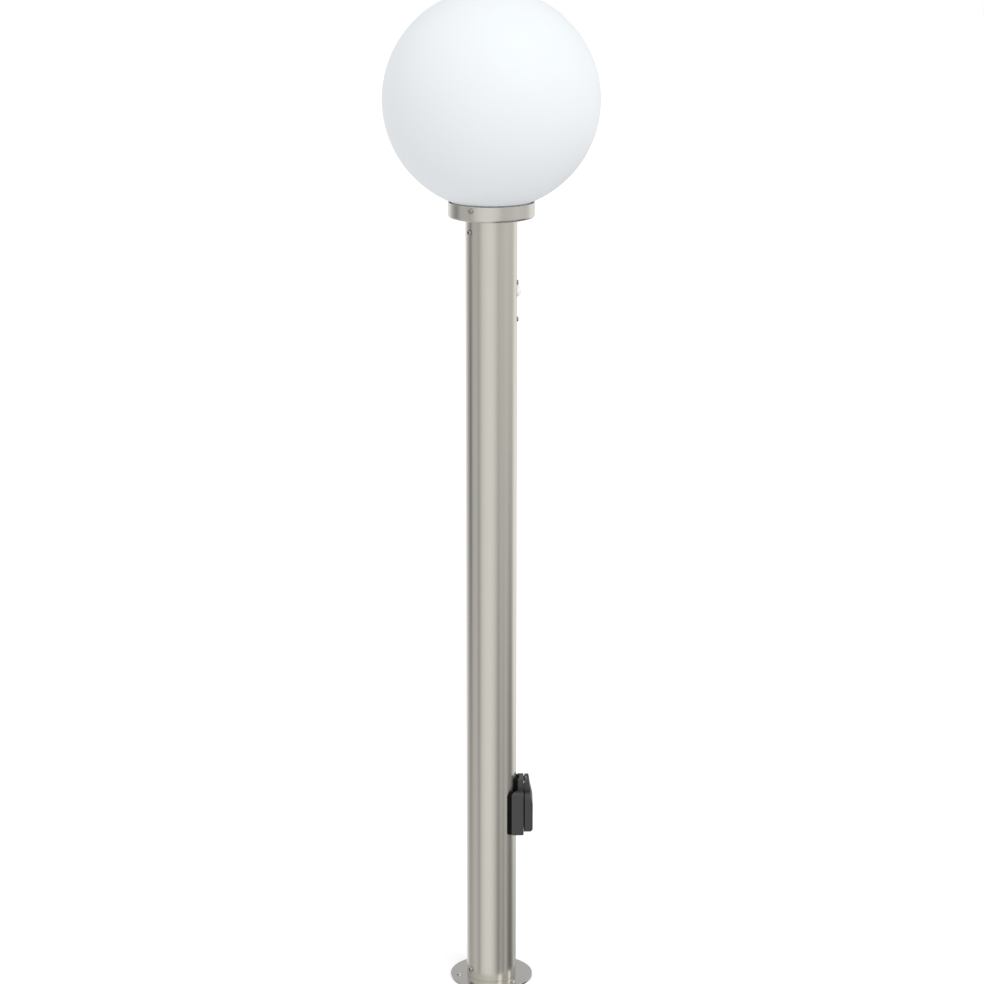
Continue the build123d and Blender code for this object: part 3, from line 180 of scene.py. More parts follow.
class Nodes:
    """A node tree and one way to add any node to it."""

    def __init__(self, tree: bpy.types.NodeTree) -> None:
        """Takes the tree of a material or of the world and empties it."""
        self.tree = tree
        tree.nodes.clear()

    def add(
        self,
        kind: str,
        settings: Optional[Mapping[str, object]] = None,
        values: Optional[Mapping[Union[str, int], Feed]] = None,
    ) -> bpy.types.Node:
        """Adds a node.

        Args:
            kind: The node's type.
            settings: Its properties, set first. "stops" holds a ramp's places and colours.
            values: What each input socket holds or is linked to, by name or number.

        Returns:
            The new node.
        """
        node = self.tree.nodes.new(kind)
        for name, setting in (settings or {}).items():
            if name == "stops":
                self._fill_ramp(node.color_ramp, setting)
            else:
                setattr(node, name, setting)
        for name, value in (values or {}).items():
            if isinstance(value, Signal):
                value = value.socket
            if isinstance(value, bpy.types.NodeSocket):
                self.tree.links.new(value, node.inputs[name])
            else:
                node.inputs[name].default_value = value
        return node

    @staticmethod
    def _fill_ramp(ramp: bpy.types.ColorRamp, stops: Sequence[Point]) -> None:
        """Gives a ramp its grey stops.

        Args:
            ramp: The ramp to fill.
            stops: Pairs of place and brightness, in order.
        """
        while len(ramp.elements) < len(stops):
            ramp.elements.new(1.0)
        for element, (place, level) in zip(ramp.elements, stops):
            element.position = place
            element.color = (level, level, level, 1.0)

    def signal(self, node: bpy.types.Node, output: Union[str, int] = 0) -> Signal:
        """One output of a node as a signal."""
        return Signal(self, node.outputs[output])

    def position(self) -> bpy.types.NodeSocket:
        """The place on the piece, in metres from the post's foot."""
        return self.add("ShaderNodeTexCoord").outputs["Object"]

    def stretched(self, vector: Feed, factors: Triple) -> bpy.types.NodeSocket:
        """A vector multiplied axis by axis."""
        values = {0: vector, 1: factors}
        return self.add("ShaderNodeVectorMath", {"operation": "MULTIPLY"}, values).outputs[0]

    def axes(self, vector: Feed) -> tuple[Signal, Signal, Signal]:
        """The three parts of a vector as signals."""
        node = self.add("ShaderNodeSeparateXYZ", values={0: vector})
        return self.signal(node, 0), self.signal(node, 1), self.signal(node, 2)

    def noise(self, vector: Feed, mottle: Mottle) -> Signal:
        """Smooth noise between 0 and 1.

        Args:
            vector: Where it is sampled.
            mottle: How coarse and how rough it is.

        Returns:
            The noise.
        """
        values = {
            "Vector": vector,
            "Scale": mottle.scale,
            "Detail": mottle.detail,
            "Roughness": mottle.roughness,
        }
        return self.signal(self.add("ShaderNodeTexNoise", values=values), "Fac")

    def cells(self, vector: Feed, scale: float) -> Signal:
        """The distance to the nearest of many scattered points."""
        values = {"Vector": vector, "Scale": scale}
        return self.signal(self.add("ShaderNodeTexVoronoi", values=values), "Distance")

    def blend(self, factor: Feed, first: Feed, second: Feed) -> bpy.types.NodeSocket:
        """A colour between two.

        Args:
            factor: 0 for the first colour and 1 for the second.
            first: The first colour.
            second: The second colour.

        Returns:
            The blended colour.
        """
        values = {
            MixInput.FACTOR.value: factor,
            MixInput.FIRST.value: first,
            MixInput.SECOND.value: second,
        }
        node = self.add("ShaderNodeMix", {"data_type": "RGBA"}, values)
        return node.outputs[MixInput.RESULT.value]

    def bump(self, height: Feed, depth: float, strength: float) -> bpy.types.NodeSocket:
        """A surface normal for a height of 0 to 1, given its depth and how much of it shows."""
        values = {"Height": height, "Distance": depth, "Strength": strength}
        return self.add("ShaderNodeBump", values=values).outputs[0]


def tone(red: float, green: float, blue: float) -> Colour:
    """An opaque colour from linear red, green and blue."""
    return (red, green, blue, 1.0)


def shaded(colour: Colour, factor: float) -> Colour:
    """The colour made lighter or darker."""
    return tone(*(channel * factor for channel in colour[:3]))


WHITE = tone(1.0, 1.0, 1.0)


@dataclass(frozen=True)
class Finish:
    """A surface finish: its name, its colour and how rough it is."""

    name: str
    colour: Colour
    roughness: float

    def surface(self, nodes: Nodes) -> Mapping[str, Feed]:
        """What the sockets of the Principled shader hold, by their names."""
        raise NotImplementedError

    def tinted(self, nodes: Nodes, factor: Feed, shades: Point) -> bpy.types.NodeSocket:
        """A blend of two shades of the finish's colour, where a shade of 1 is the colour itself."""
        first, second = (shaded(self.colour, shade) for shade in shades)
        return nodes.blend(factor, first, second)

    def dress(self, *pieces: bpy.types.Object) -> None:
        """Puts the finish on each piece.

        Args:
            pieces: The objects to dress.
        """
        material = material_of(self)
        for piece in pieces:
            if not piece.material_slots:
                piece.data.materials.append(material)
            for slot in piece.material_slots:
                slot.material = material


@cache
def material_of(finish: Finish) -> bpy.types.Material:
    """The material of a finish, made once.

    Args:
        finish: The finish to build.

    Returns:
        Its material.
    """
    material = bpy.data.materials.new(finish.name)
    material.use_nodes = True
    nodes = Nodes(material.node_tree)
    shader = nodes.add("ShaderNodeBsdfPrincipled", values=finish.surface(nodes))
    nodes.add("ShaderNodeOutputMaterial", values={"Surface": shader.outputs[0]})
    return material


@dataclass(frozen=True)
class Steel(Finish):
    """Stainless steel, from brushed to polished, with faint handling marks."""

    grain: Grain = Grain.NONE
    grain_depth: float = 0.0015 * MM
    anisotropy: float = 0.0
    grain_turn: float = 0.25
    relief: float = 0.6
    shades: Point = (0.97, 1.03)
    lines: Mottle = Mottle(1.0, 3.0, 0.6)
    line_matting: float = 0.06
    clouds: Mottle = Mottle(22.0, 3.0)
    marks: Mottle = Mottle(130.0, 4.0, 0.62)
    mark_stretch: Triple = (1.0, 1.0, 0.35)
    mark_edges: Point = (0.56, 0.8)
    mark_matting: float = 0.03

    def surface(self, nodes: Nodes) -> Mapping[str, Feed]:
        """Fine lines in the grain's direction over wide, faint clouds.

        Args:
            nodes: The material's node tree.

        Returns:
            The shader's values, by socket name.
        """
        place = nodes.position()
        lines = nodes.noise(nodes.stretched(place, self.grain.value), self.lines)
        clouds = nodes.noise(place, self.clouds)
        marks = nodes.noise(nodes.stretched(place, self.mark_stretch), self.marks)
        worn = marks.between(*self.mark_edges) * self.mark_matting
        return {
            "Base Color": self.tinted(nodes, clouds * 0.5 + lines * 0.5, self.shades),
            "Metallic": 1.0,
            "Roughness": self.roughness + lines.centred(self.line_matting) + worn,
            "Anisotropic": self.anisotropy,
            "Anisotropic Rotation": self.grain_turn,
            "Normal": nodes.bump(lines, self.grain_depth, self.relief),
        }


@dataclass(frozen=True)
class Moulded(Finish):
    """Moulded plastic with the fine grain of its tool and a slight sheen on its marks."""

    grain_scale: float = 2600.0
    grain_depth: float = 0.012 * MM
    relief: float = 0.7
    drift: Mottle = Mottle(35.0, 3.0)
    drift_shades: Point = (0.9, 1.1)
    drift_matting: float = 0.08
    rubs: Mottle = Mottle(160.0, 5.0, 0.65)
    rub_edges: Point = (0.58, 0.82)
    rub_amount: float = 0.35
    rub_shade: float = 1.6
    rub_tint: float = 0.3
    rub_gloss: float = 0.12
    index: float = 1.5

    def surface(self, nodes: Nodes) -> Mapping[str, Feed]:
        """A pebbled skin, slow tone drift and a few rubbed patches.

        Args:
            nodes: The material's node tree.

        Returns:
            The shader's values, by socket name.
        """
        place = nodes.position()
        pebble = nodes.cells(place, self.grain_scale)
        drift = nodes.noise(place, self.drift)
        rubbed = nodes.noise(place, self.rubs).between(*self.rub_edges) * self.rub_amount
        skin = self.tinted(nodes, drift, self.drift_shades)
        matting = self.roughness + drift.centred(self.drift_matting)
        rubbed_colour = shaded(self.colour, self.rub_shade)
        return {
            "Base Color": nodes.blend(rubbed * self.rub_tint, skin, rubbed_colour),
            "Roughness": matting - rubbed * self.rub_gloss,
            "IOR": self.index,
            "Normal": nodes.bump(pebble, self.grain_depth, self.relief),
        }


@dataclass(frozen=True)
class Opal(Finish):
    """Satin opal plastic, thick enough to hide what is behind it."""

    milk: Mottle = Mottle(9.0)
    milk_shades: Point = (0.99, 1.01)
    skin: Mottle = Mottle(60.0, 3.0)
    skin_matting: float = 0.06
    skin_depth: float = 0.02 * MM
    relief: float = 0.4
    index: float = 1.49
    shine: float = 0.35

    def surface(self, nodes: Nodes) -> Mapping[str, Feed]:
        """A milky body under a soft skin that is a little uneven.

        Args:
            nodes: The material's node tree.

        Returns:
            The shader's values, by socket name.
        """
        place = nodes.position()
        skin = nodes.noise(place, self.skin)
        return {
            "Base Color": self.tinted(nodes, nodes.noise(place, self.milk), self.milk_shades),
            "Roughness": self.roughness + skin.centred(self.skin_matting),
            "IOR": self.index,
            "Specular IOR Level": self.shine,
            "Normal": nodes.bump(skin, self.skin_depth, self.relief),
        }


@dataclass(frozen=True)
class Rubber(Finish):
    """Soft black rubber with a dusty bloom."""

    bloom: Mottle = Mottle(90.0, 4.0)
    bloom_edges: Point = (0.45, 0.8)
    bloom_tint: float = 0.5
    bloom_shades: Point = (1.0, 1.9)
    grit: Mottle = Mottle(3000.0)
    grit_matting: float = 0.1
    grit_depth: float = 0.01 * MM
    relief: float = 0.6
    index: float = 1.3
    shine: float = 0.2

    def surface(self, nodes: Nodes) -> Mapping[str, Feed]:
        """A matt skin with pale bloom in patches.

        Args:
            nodes: The material's node tree.

        Returns:
            The shader's values, by socket name.
        """
        place = nodes.position()
        bloom = nodes.noise(place, self.bloom).between(*self.bloom_edges)
        grit = nodes.noise(place, self.grit)
        return {
            "Base Color": self.tinted(nodes, bloom * self.bloom_tint, self.bloom_shades),
            "Roughness": self.roughness + grit.centred(self.grit_matting),
            "IOR": self.index,
            "Specular IOR Level": self.shine,
            "Normal": nodes.bump(grit, self.grit_depth, self.relief),
        }


@dataclass(frozen=True)
class Plated(Finish):
    """Bright metal such as brass or nickel plate, with a trace of tarnish."""

    tarnish: Colour = tone(0.32, 0.2, 0.08)
    patches: Mottle = Mottle(240.0, 4.0, 0.6)
    patch_edges: Point = (0.5, 0.85)
    patch_tint: float = 0.4
    patch_matting: float = 0.15
    polish: Mottle = Mottle(1800.0)
    polish_depth: float = 0.004 * MM
    relief: float = 0.5

    def surface(self, nodes: Nodes) -> Mapping[str, Feed]:
        """Bright metal that dulls in patches.

        Args:
            nodes: The material's node tree.

        Returns:
            The shader's values, by socket name.
        """
        place = nodes.position()
        dull = nodes.noise(place, self.patches).between(*self.patch_edges)
        polish = nodes.noise(place, self.polish)
        return {
            "Base Color": nodes.blend(dull * self.patch_tint, self.colour, self.tarnish),
            "Metallic": 1.0,
            "Roughness": self.roughness + dull * self.patch_matting,
            "Normal": nodes.bump(polish, self.polish_depth, self.relief),
        }


@dataclass(frozen=True)
class Clear(Finish):
    """Clear glass or silicone, tinted by its colour."""

    index: float = 1.5
    clearness: float = 0.9
    streaks: Mottle = Mottle(300.0, 3.0)
    streak_stretch: Triple = (1.0, 1.0, 0.2)
    streak_shades: Point = (0.98, 1.0)
    streak_matting: float = 0.04

    def surface(self, nodes: Nodes) -> Mapping[str, Feed]:
        """A see-through body with faint streaks in its polish.

        Args:
            nodes: The material's node tree.

        Returns:
            The shader's values, by socket name.
        """
        place = nodes.stretched(nodes.position(), self.streak_stretch)
        streaks = nodes.noise(place, self.streaks)
        return {
            "Base Color": self.tinted(nodes, streaks, self.streak_shades),
            "Roughness": self.roughness + streaks * self.streak_matting,
            "Transmission Weight": self.clearness,
            "IOR": self.index,
        }


@dataclass(frozen=True)
class Milky(Finish):
    """Thin translucent plastic, as a motion sensor's lens is made of."""

    haze: Mottle = Mottle(400.0, 3.0)
    haze_shades: Point = (0.96, 1.0)
    haze_matting: float = 0.08
    scatter: float = 0.2
    scatter_reach: float = 0.6 * MM
    scatter_shares: Triple = (1.0, 1.0, 0.9)
    index: float = 1.51

    def surface(self, nodes: Nodes) -> Mapping[str, Feed]:
        """A pale waxy body.

        Args:
            nodes: The material's node tree.

        Returns:
            The shader's values, by socket name.
        """
        haze = nodes.noise(nodes.position(), self.haze)
        return {
            "Base Color": self.tinted(nodes, haze, self.haze_shades),
            "Roughness": self.roughness + haze.centred(self.haze_matting),
            "Subsurface Weight": self.scatter,
            "Subsurface Radius": self.scatter_shares,
            "Subsurface Scale": self.scatter_reach,
            "IOR": self.index,
        }


@dataclass(frozen=True)
class Board(Finish):
    """A circuit board under green resist, with copper tracks that show through."""

    copper_shades: Point = (1.0, 2.3)
    track_pitch: float = 2.6 * MM
    track_edges: Point = (0.3, 0.34)
    track_tint: float = 0.7
    track_depth: float = 0.03 * MM
    joint_pitch: float = 7.4 * MM
    joint_edges: Point = (0.42, 0.45)
    joint_tint: float = 0.3
    weave: Mottle = Mottle(2200.0)
    weave_matting: float = 0.1
    relief: float = 0.5
    index: float = 1.55

    def surface(self, nodes: Nodes) -> Mapping[str, Feed]:
        """Straight tracks up and across the board.

        Args:
            nodes: The material's node tree.

        Returns:
            The shader's values, by socket name.
        """
        place = nodes.position()
        _, across, up = nodes.axes(place)
        tracks = abs(across.stripes(self.track_pitch) - 0.5).between(*self.track_edges)
        joints = abs(up.stripes(self.joint_pitch) - 0.5).between(*self.joint_edges)
        copper = tracks * self.track_tint + joints * self.joint_tint
        return {
            "Base Color": self.tinted(nodes, copper, self.copper_shades),
            "Roughness": self.roughness + nodes.noise(place, self.weave) * self.weave_matting,
            "IOR": self.index,
            "Normal": nodes.bump(tracks, self.track_depth, self.relief),
        }


@dataclass(frozen=True)
class CoreCover(Finish):
    """The covers of the leads: brown, green and yellow, and blue, by their side of the post."""

    brown: Colour = tone(0.12, 0.045, 0.02)
    blue: Colour = tone(0.03, 0.12, 0.42)
    yellow: Colour = tone(0.72, 0.56, 0.05)
    half_width: float = 3.5 * MM
    edge_blur: float = 1.1
    band_pitch: float = 6.0 * MM
    band_slope: float = 0.6
    band_edges: Point = (0.46, 0.54)
    gloss: Mottle = Mottle(500.0)
    gloss_span: float = 0.1
    index: float = 1.53

    def surface(self, nodes: Nodes) -> Mapping[str, Feed]:
        """Chooses a cover by where the lead runs.

        Args:
            nodes: The material's node tree.

        Returns:
            The shader's values, by socket name.
        """
        place = nodes.position()
        _, across, up = nodes.axes(place)
        bands = (up + across * self.band_slope).stripes(self.band_pitch)
        banded = nodes.blend(bands.between(*self.band_edges), self.colour, self.yellow)
        edge = self.half_width * self.edge_blur
        right = nodes.blend(across.between(self.half_width, edge), banded, self.blue)
        left = across.between(-self.half_width, -edge)
        gloss = nodes.noise(place, self.gloss)
        return {
            "Base Color": nodes.blend(left, right, self.brown),
            "Roughness": self.roughness + gloss.centred(self.gloss_span),
            "IOR": self.index,
        }


FINE_GRAIN = 0.001 * MM

BRUSHED_TUBE = Steel(
    "brushed_tube_steel", tone(0.66, 0.638, 0.574), 0.21, Grain.ROUND, anisotropy=0.6
)
BRUSHED_CUP = Steel("brushed_cup_steel", tone(0.66, 0.64, 0.585), 0.22, Grain.ROUND, anisotropy=0.5)
POLISHED = Steel("polished_flange_steel", tone(0.64, 0.63, 0.6), 0.13, grain_depth=FINE_GRAIN)
SCREW_STEEL = Steel("screw_steel", tone(0.42, 0.41, 0.39), 0.2, grain_depth=FINE_GRAIN)
DARK_PIN = Steel("dark_pin_steel", tone(0.16, 0.155, 0.15), 0.3, grain_depth=FINE_GRAIN)
INNER_STEEL = Steel("inner_steel", tone(0.52, 0.52, 0.5), 0.38, Grain.LENGTHWISE)
OPAL = Opal("opal_globe_plastic", tone(0.854, 0.89, 0.915), 0.42)
CHARCOAL = Moulded("charcoal_plastic", tone(0.043, 0.043, 0.043), 0.46)
CHARCOAL_LID = Moulded("charcoal_lid_plastic", tone(0.037, 0.037, 0.037), 0.42)
BLACK_PLASTIC = Moulded("black_insert_plastic", tone(0.018, 0.018, 0.019), 0.4)
CARRIER = Moulded("carrier_plastic", tone(0.62, 0.6, 0.54), 0.5)
RELAY = Moulded("relay_plastic", tone(0.03, 0.06, 0.16), 0.4)
DIAL = Moulded("dial_plastic", tone(0.78, 0.78, 0.76), 0.42)
HOLDER = Moulded("lampholder_plastic", tone(0.025, 0.025, 0.026), 0.35)
CERAMIC = Moulded("lampholder_ceramic", tone(0.8, 0.79, 0.76), 0.3, grain_scale=1500.0)
INSULATOR = Moulded("bulb_insulator", tone(0.02, 0.02, 0.03), 0.22)
SHEATH = Moulded("cable_sheath", tone(0.05, 0.05, 0.052), 0.5)
RUBBER = Rubber("black_rubber", tone(0.003, 0.003, 0.003), 0.7)
BRASS = Plated("contact_brass", tone(0.78, 0.58, 0.29), 0.24)
BULB_NICKEL = Plated("bulb_nickel", tone(0.7, 0.69, 0.66), 0.22, tone(0.4, 0.38, 0.34))
BULB_GLASS = Clear("bulb_glass", tone(0.97, 0.98, 0.98), 0.02)
CLEAR_SEAL = Clear("clear_seal", tone(0.86, 0.88, 0.88), 0.25, 1.42)
LENS = Milky("lens_plastic", tone(0.93, 0.93, 0.92), 0.34)
GREEN_BOARD = Board("board_green", tone(0.012, 0.1, 0.035), 0.35)
CORE_COVER = CoreCover("wire_cover", tone(0.03, 0.26, 0.05), 0.42)


@dataclass(frozen=True)
class Corner:
    """A corner of an outline and the radius that rounds it."""

    across: float
    up: float
    radius: float = 0.0


def arc(centre: Point, radius: float, start: float, end: float, steps: int) -> list[Point]:
    """Points along a round stretch.

    Args:
        centre: The middle of the circle.
        radius: Its radius.
        start: The first point's angle in degrees.
        end: The last point's angle in degrees.
        steps: How many straight runs it has.

    Returns:
        The points, both ends included.
    """
    points = []
    for step in range(steps + 1):
        angle = math.radians(start + (end - start) * step / steps)
        points.append((centre[0] + radius * math.cos(angle), centre[1] + radius * math.sin(angle)))
    return points


def rounded(corners: Sequence[Corner], steps: int = 6) -> list[Point]:
    """A closed outline with each corner rounded by its own radius.

    Args:
        corners: The corners, in order.
        steps: How many straight runs a rounded corner has.

    Returns:
        The outline's points.
    """
    outline = []
    for number, corner in enumerate(corners):
        here = Vector((corner.across, corner.up))
        if corner.radius <= 0:
            outline.append(tuple(here))
            continue
        before = corners[number - 1]
        after = corners[(number + 1) % len(corners)]
        back = (Vector((before.across, before.up)) - here).normalized()
        ahead = (Vector((after.across, after.up)) - here).normalized()
        half = back.angle(ahead) / 2
        middle = here + (back + ahead).normalized() * (corner.radius / math.sin(half))
        first = here + back * (corner.radius / math.tan(half)) - middle
        turn = (math.pi - 2 * half) * math.copysign(1.0, back.cross(ahead))
        for step in range(steps + 1):
            turned = Matrix.Rotation(-turn * step / steps, 2) @ first
            outline.append(tuple(middle + turned))
    return outline


def polar(radius: float, angle: float, height: float) -> Vector:
    """The place at a radius and an angle, in radians, about the Z axis."""
    return Vector((radius * math.cos(angle), radius * math.sin(angle), height))


def spread_angles(first: float, count: int) -> list[float]:
    """Angles in radians, evenly spaced all round, from a first one in degrees."""
    return [math.radians(first) + FULL_TURN * number / count for number in range(count)]


def placed(name: str, data: bpy.types.ID) -> bpy.types.Object:
    """Makes an object and links it to the scene.

    Args:
        name: The object's name.
        data: Its mesh, curve, lamp or camera.

    Returns:
        The new object.
    """
    holder = bpy.data.objects.new(name, data)
    bpy.context.scene.collection.objects.link(holder)
    return holder


def smooth(mesh: bpy.types.Mesh) -> None:
    """Shades a mesh smooth, except at its sharp edges."""
    mesh.shade_smooth()
    mesh.set_sharp_from_angle(angle=SHARP_ANGLE)


def final_mesh(piece: bpy.types.Object) -> bpy.types.Mesh:
    """A new mesh of a piece with its modifiers or its bevel applied."""
    graph = bpy.context.evaluated_depsgraph_get()
    return bpy.data.meshes.new_from_object(piece.evaluated_get(graph))


def finished_mesh(name: str, builder: bmesh.types.BMesh) -> bpy.types.Object:
    """Turns a built mesh into an object with smooth faces and sharp edges.

    Args:
        name: The object's name.
        builder: The mesh, which is freed.

    Returns:
        The new object.
    """
    bmesh.ops.remove_doubles(builder, verts=builder.verts, dist=TINY)
    bmesh.ops.recalc_face_normals(builder, faces=builder.faces)
    mesh = bpy.data.meshes.new(name)
    builder.to_mesh(mesh)
    builder.free()
    smooth(mesh)
    return placed(name, mesh)


def lathed(
    name: str, outline: Sequence[Point], sides: int, matrix: Matrix = Matrix()
) -> bpy.types.Object:
    """Turns a closed outline about the Z axis.

    Args:
        name: The object's name.
        outline: Pairs of radius and height. A radius of 0 is a point on the axis.
        sides: How many sides the round has.
        matrix: Where the turned shape goes.

    Returns:
        The new object.
    """
    builder = bmesh.new()
    rings = []
    for radius, height in outline:
        count = 1 if radius < TINY else sides
        ring = [
            builder.verts.new(matrix @ polar(radius, FULL_TURN * side / sides, height))
            for side in range(count)
        ]
        rings.append(ring)
    for lower, upper in zip(rings, rings[1:] + rings[:1]):
        for side in range(sides if len(lower) + len(upper) > 2 else 0):
            after = (side + 1) % sides
            corners = [
                lower[side % len(lower)],
                lower[after % len(lower)],
                upper[after % len(upper)],
                upper[side % len(upper)],
            ]
            builder.faces.new(list(dict.fromkeys(corners)))
    return finished_mesh(name, builder)


def facing(origin: Place, outward: Place) -> Matrix:
    """A frame at the origin whose Z axis points outward."""
    turn = Vector(outward).to_track_quat("Z", "Y").to_matrix().to_4x4()
    return Matrix.Translation(origin) @ turn


def round_places(radius: float, height: float, first_angle: float, count: int) -> list[Matrix]:
    """Frames evenly spaced round the post, each facing away from its axis.

    Args:
        radius: Their distance from the axis.
        height: Their height.
        first_angle: The first one's angle.
        count: How many there are.

    Returns:
        The frames.
    """
    return [
        facing(polar(radius, angle, height), polar(1.0, angle, 0.0))
        for angle in spread_angles(first_angle, count)
    ]


def drill(
    radius: float, depth: float, rise: float, chamfer: float, matrix: Matrix
) -> bpy.types.Object:
    """A cutter for one hole, flared at the surface so that the rim is broken.

    Args:
        radius: The hole's radius.
        depth: How far it goes below the frame's origin.
        rise: How far the cutter stands above it.
        chamfer: The width of the broken edge.
        matrix: The hole's frame, Z pointing out of the surface.

    Returns:
        The cutter.
    """
    flare = radius + chamfer + rise
    outline = [(0.0, -depth), (radius, -depth), (radius, -chamfer), (flare, rise), (0.0, rise)]
    return lathed("cutter", outline, HOLE_SIDES, matrix)


def cut(piece: bpy.types.Object, cutters: Sequence[bpy.types.Object]) -> None:
    """Takes the cutters out of a piece and removes them.

    Args:
        piece: The piece to cut.
        cutters: Closed shapes that don't meet each other.
    """
    builder = bmesh.new()
    for cutter in cutters:
        builder.from_mesh(cutter.data)
        bpy.data.objects.remove(cutter)
    tool = finished_mesh("tool", builder)
    modifier = piece.modifiers.new("holes", "BOOLEAN")
    modifier.object = tool
    modifier.operation = "DIFFERENCE"
    modifier.solver = "EXACT"
    mesh = final_mesh(piece)
    piece.modifiers.clear()
    piece.data = mesh
    smooth(mesh)
    bpy.data.objects.remove(tool)


def keep_round(piece: bpy.types.Object, radii: Sequence[float]) -> None:
    """Gives the faces that lie on a round wall about the post's axis the wall's own normals.

    Args:
        piece: The piece, whose holes would otherwise bend the reflections round them.
        radii: The radii of its walls.
    """
    mesh = piece.data
    normals = [Vector((0.0, 0.0, 0.0)) for _ in mesh.loops]
    for polygon in mesh.polygons:
        spokes = [Vector((*mesh.vertices[number].co.xy, 0.0)) for number in polygon.vertices]
        for radius in radii:
            if all(abs(spoke.length - radius) < WALL_TOLERANCE for spoke in spokes):
                side = math.copysign(1.0, polygon.normal.dot(spokes[0]))
                for loop, spoke in zip(polygon.loop_indices, spokes):
                    normals[loop] = spoke.normalized() * side
    mesh.normals_split_custom_set(normals)


def wire(name: str, points: Sequence[Triple], radius: float) -> bpy.types.Object:
    """A round wire along a line of points, as a mesh.

    Args:
        name: The object's name.
        points: The line, from end to end.
        radius: The wire's radius.

    Returns:
        The new object.
    """
    curve = bpy.data.curves.new(name, "CURVE")
    curve.dimensions = "3D"
    curve.bevel_depth = radius
    curve.bevel_resolution = WIRE_SMOOTHNESS
    curve.use_fill_caps = True
    spline = curve.splines.new("POLY")
    spline.points.add(len(points) - 1)
    for target, point in zip(spline.points, points):
        target.co = (*point, 1.0)
    holder = placed(name, curve)
    mesh = final_mesh(holder)
    bpy.data.objects.remove(holder)
    mesh.shade_smooth()
    return placed(name, mesh)


def middle_height(node: str) -> float:
    """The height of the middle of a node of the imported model."""
    low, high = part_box(node)
    return (low.z + high.z) / 2


def spacer_heights() -> tuple[float, float]:
    """Finds the two spacers of the sensor's board.

    Returns:
        The heights of the lower and the upper one.
    """
    low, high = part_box("board_spacers")
    radius = (high.y - low.y) / 2
    return low.z + radius, high.z - radius


def carry(finish: Finish, *names: str) -> None:
    """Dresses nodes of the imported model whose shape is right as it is.

    Args:
        finish: Their finish.
        names: The nodes.
    """
    finish.dress(*(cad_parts[name] for name in names))
    for name in names:
        log.info("%s keeps its shape, in %s", name, finish.name)


def stand_in(piece: bpy.types.Object, body: Body, slot: str, finish: Finish, *nodes: str) -> None:
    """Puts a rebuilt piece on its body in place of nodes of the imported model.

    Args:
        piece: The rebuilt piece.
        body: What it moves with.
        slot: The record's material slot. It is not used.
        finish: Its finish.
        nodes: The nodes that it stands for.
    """
    finish.dress(piece)
    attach(piece, body.value)
    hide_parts(*nodes)
    log.info("%s stands for %s, in %s", piece.name, ", ".join(nodes), finish.name)


@dataclass
class Foot:
    """The flange on the ground with its spigot, grommet and screws."""

    edge_radius: float = 0.6 * MM
    small_edge_radius: float = 0.2 * MM
    hole_chamfer: float = 0.35 * MM
    inlet_radius: float = 8.0 * MM
    anchor_circle_radius: float = 40.0 * MM
    anchor_hole_radius: float = 3.5 * MM
    anchor_angle: float = -168.0
    anchor_count: int = 3
    bracket_hole_radius: float = 1.55 * MM
    bracket_hole_reach: float = -13.25 * MM
    bracket_hole_spread: float = 9.0 * MM
    overrun: float = 0.5 * MM
    sides: int = 256

    def flange(self) -> bpy.types.Object:
        """The polished disc with its inlet and its drilled holes.

        Returns:
            The flange.
        """
        low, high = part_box("base_flange")
        outline = rounded(
            [
                Corner(self.inlet_radius, low.z),
                Corner(high.x, low.z, self.small_edge_radius),
                Corner(high.x, high.z, self.edge_radius),
                Corner(self.inlet_radius, high.z, self.small_edge_radius),
            ]
        )
        plate = lathed("flange_plate", outline, self.sides)
        depth = high.z - low.z + self.overrun
        cutters = []
        for angle in spread_angles(self.anchor_angle, self.anchor_count):
            place = Matrix.Translation(polar(self.anchor_circle_radius, angle, high.z))
            cutters.append(
                drill(self.anchor_hole_radius, depth, self.overrun, self.hole_chamfer, place)
            )
        for side in (-1, 1):
            across = side * self.bracket_hole_spread
            place = Matrix.Translation((self.bracket_hole_reach, across, high.z))
            cutters.append(drill(self.bracket_hole_radius, depth, self.overrun, 0.0, place))
        cut(plate, cutters)
        return plate

    def build(self) -> None:
        """Builds the flange and dresses the rest of the foot."""
        stand_in(self.flange(), Body.POST, "polished_steel", POLISHED, "base_flange")
        carry(INNER_STEEL, "foot_spigot")
        carry(RUBBER, "cable_grommet")
        carry(SCREW_STEEL, "base_screws")


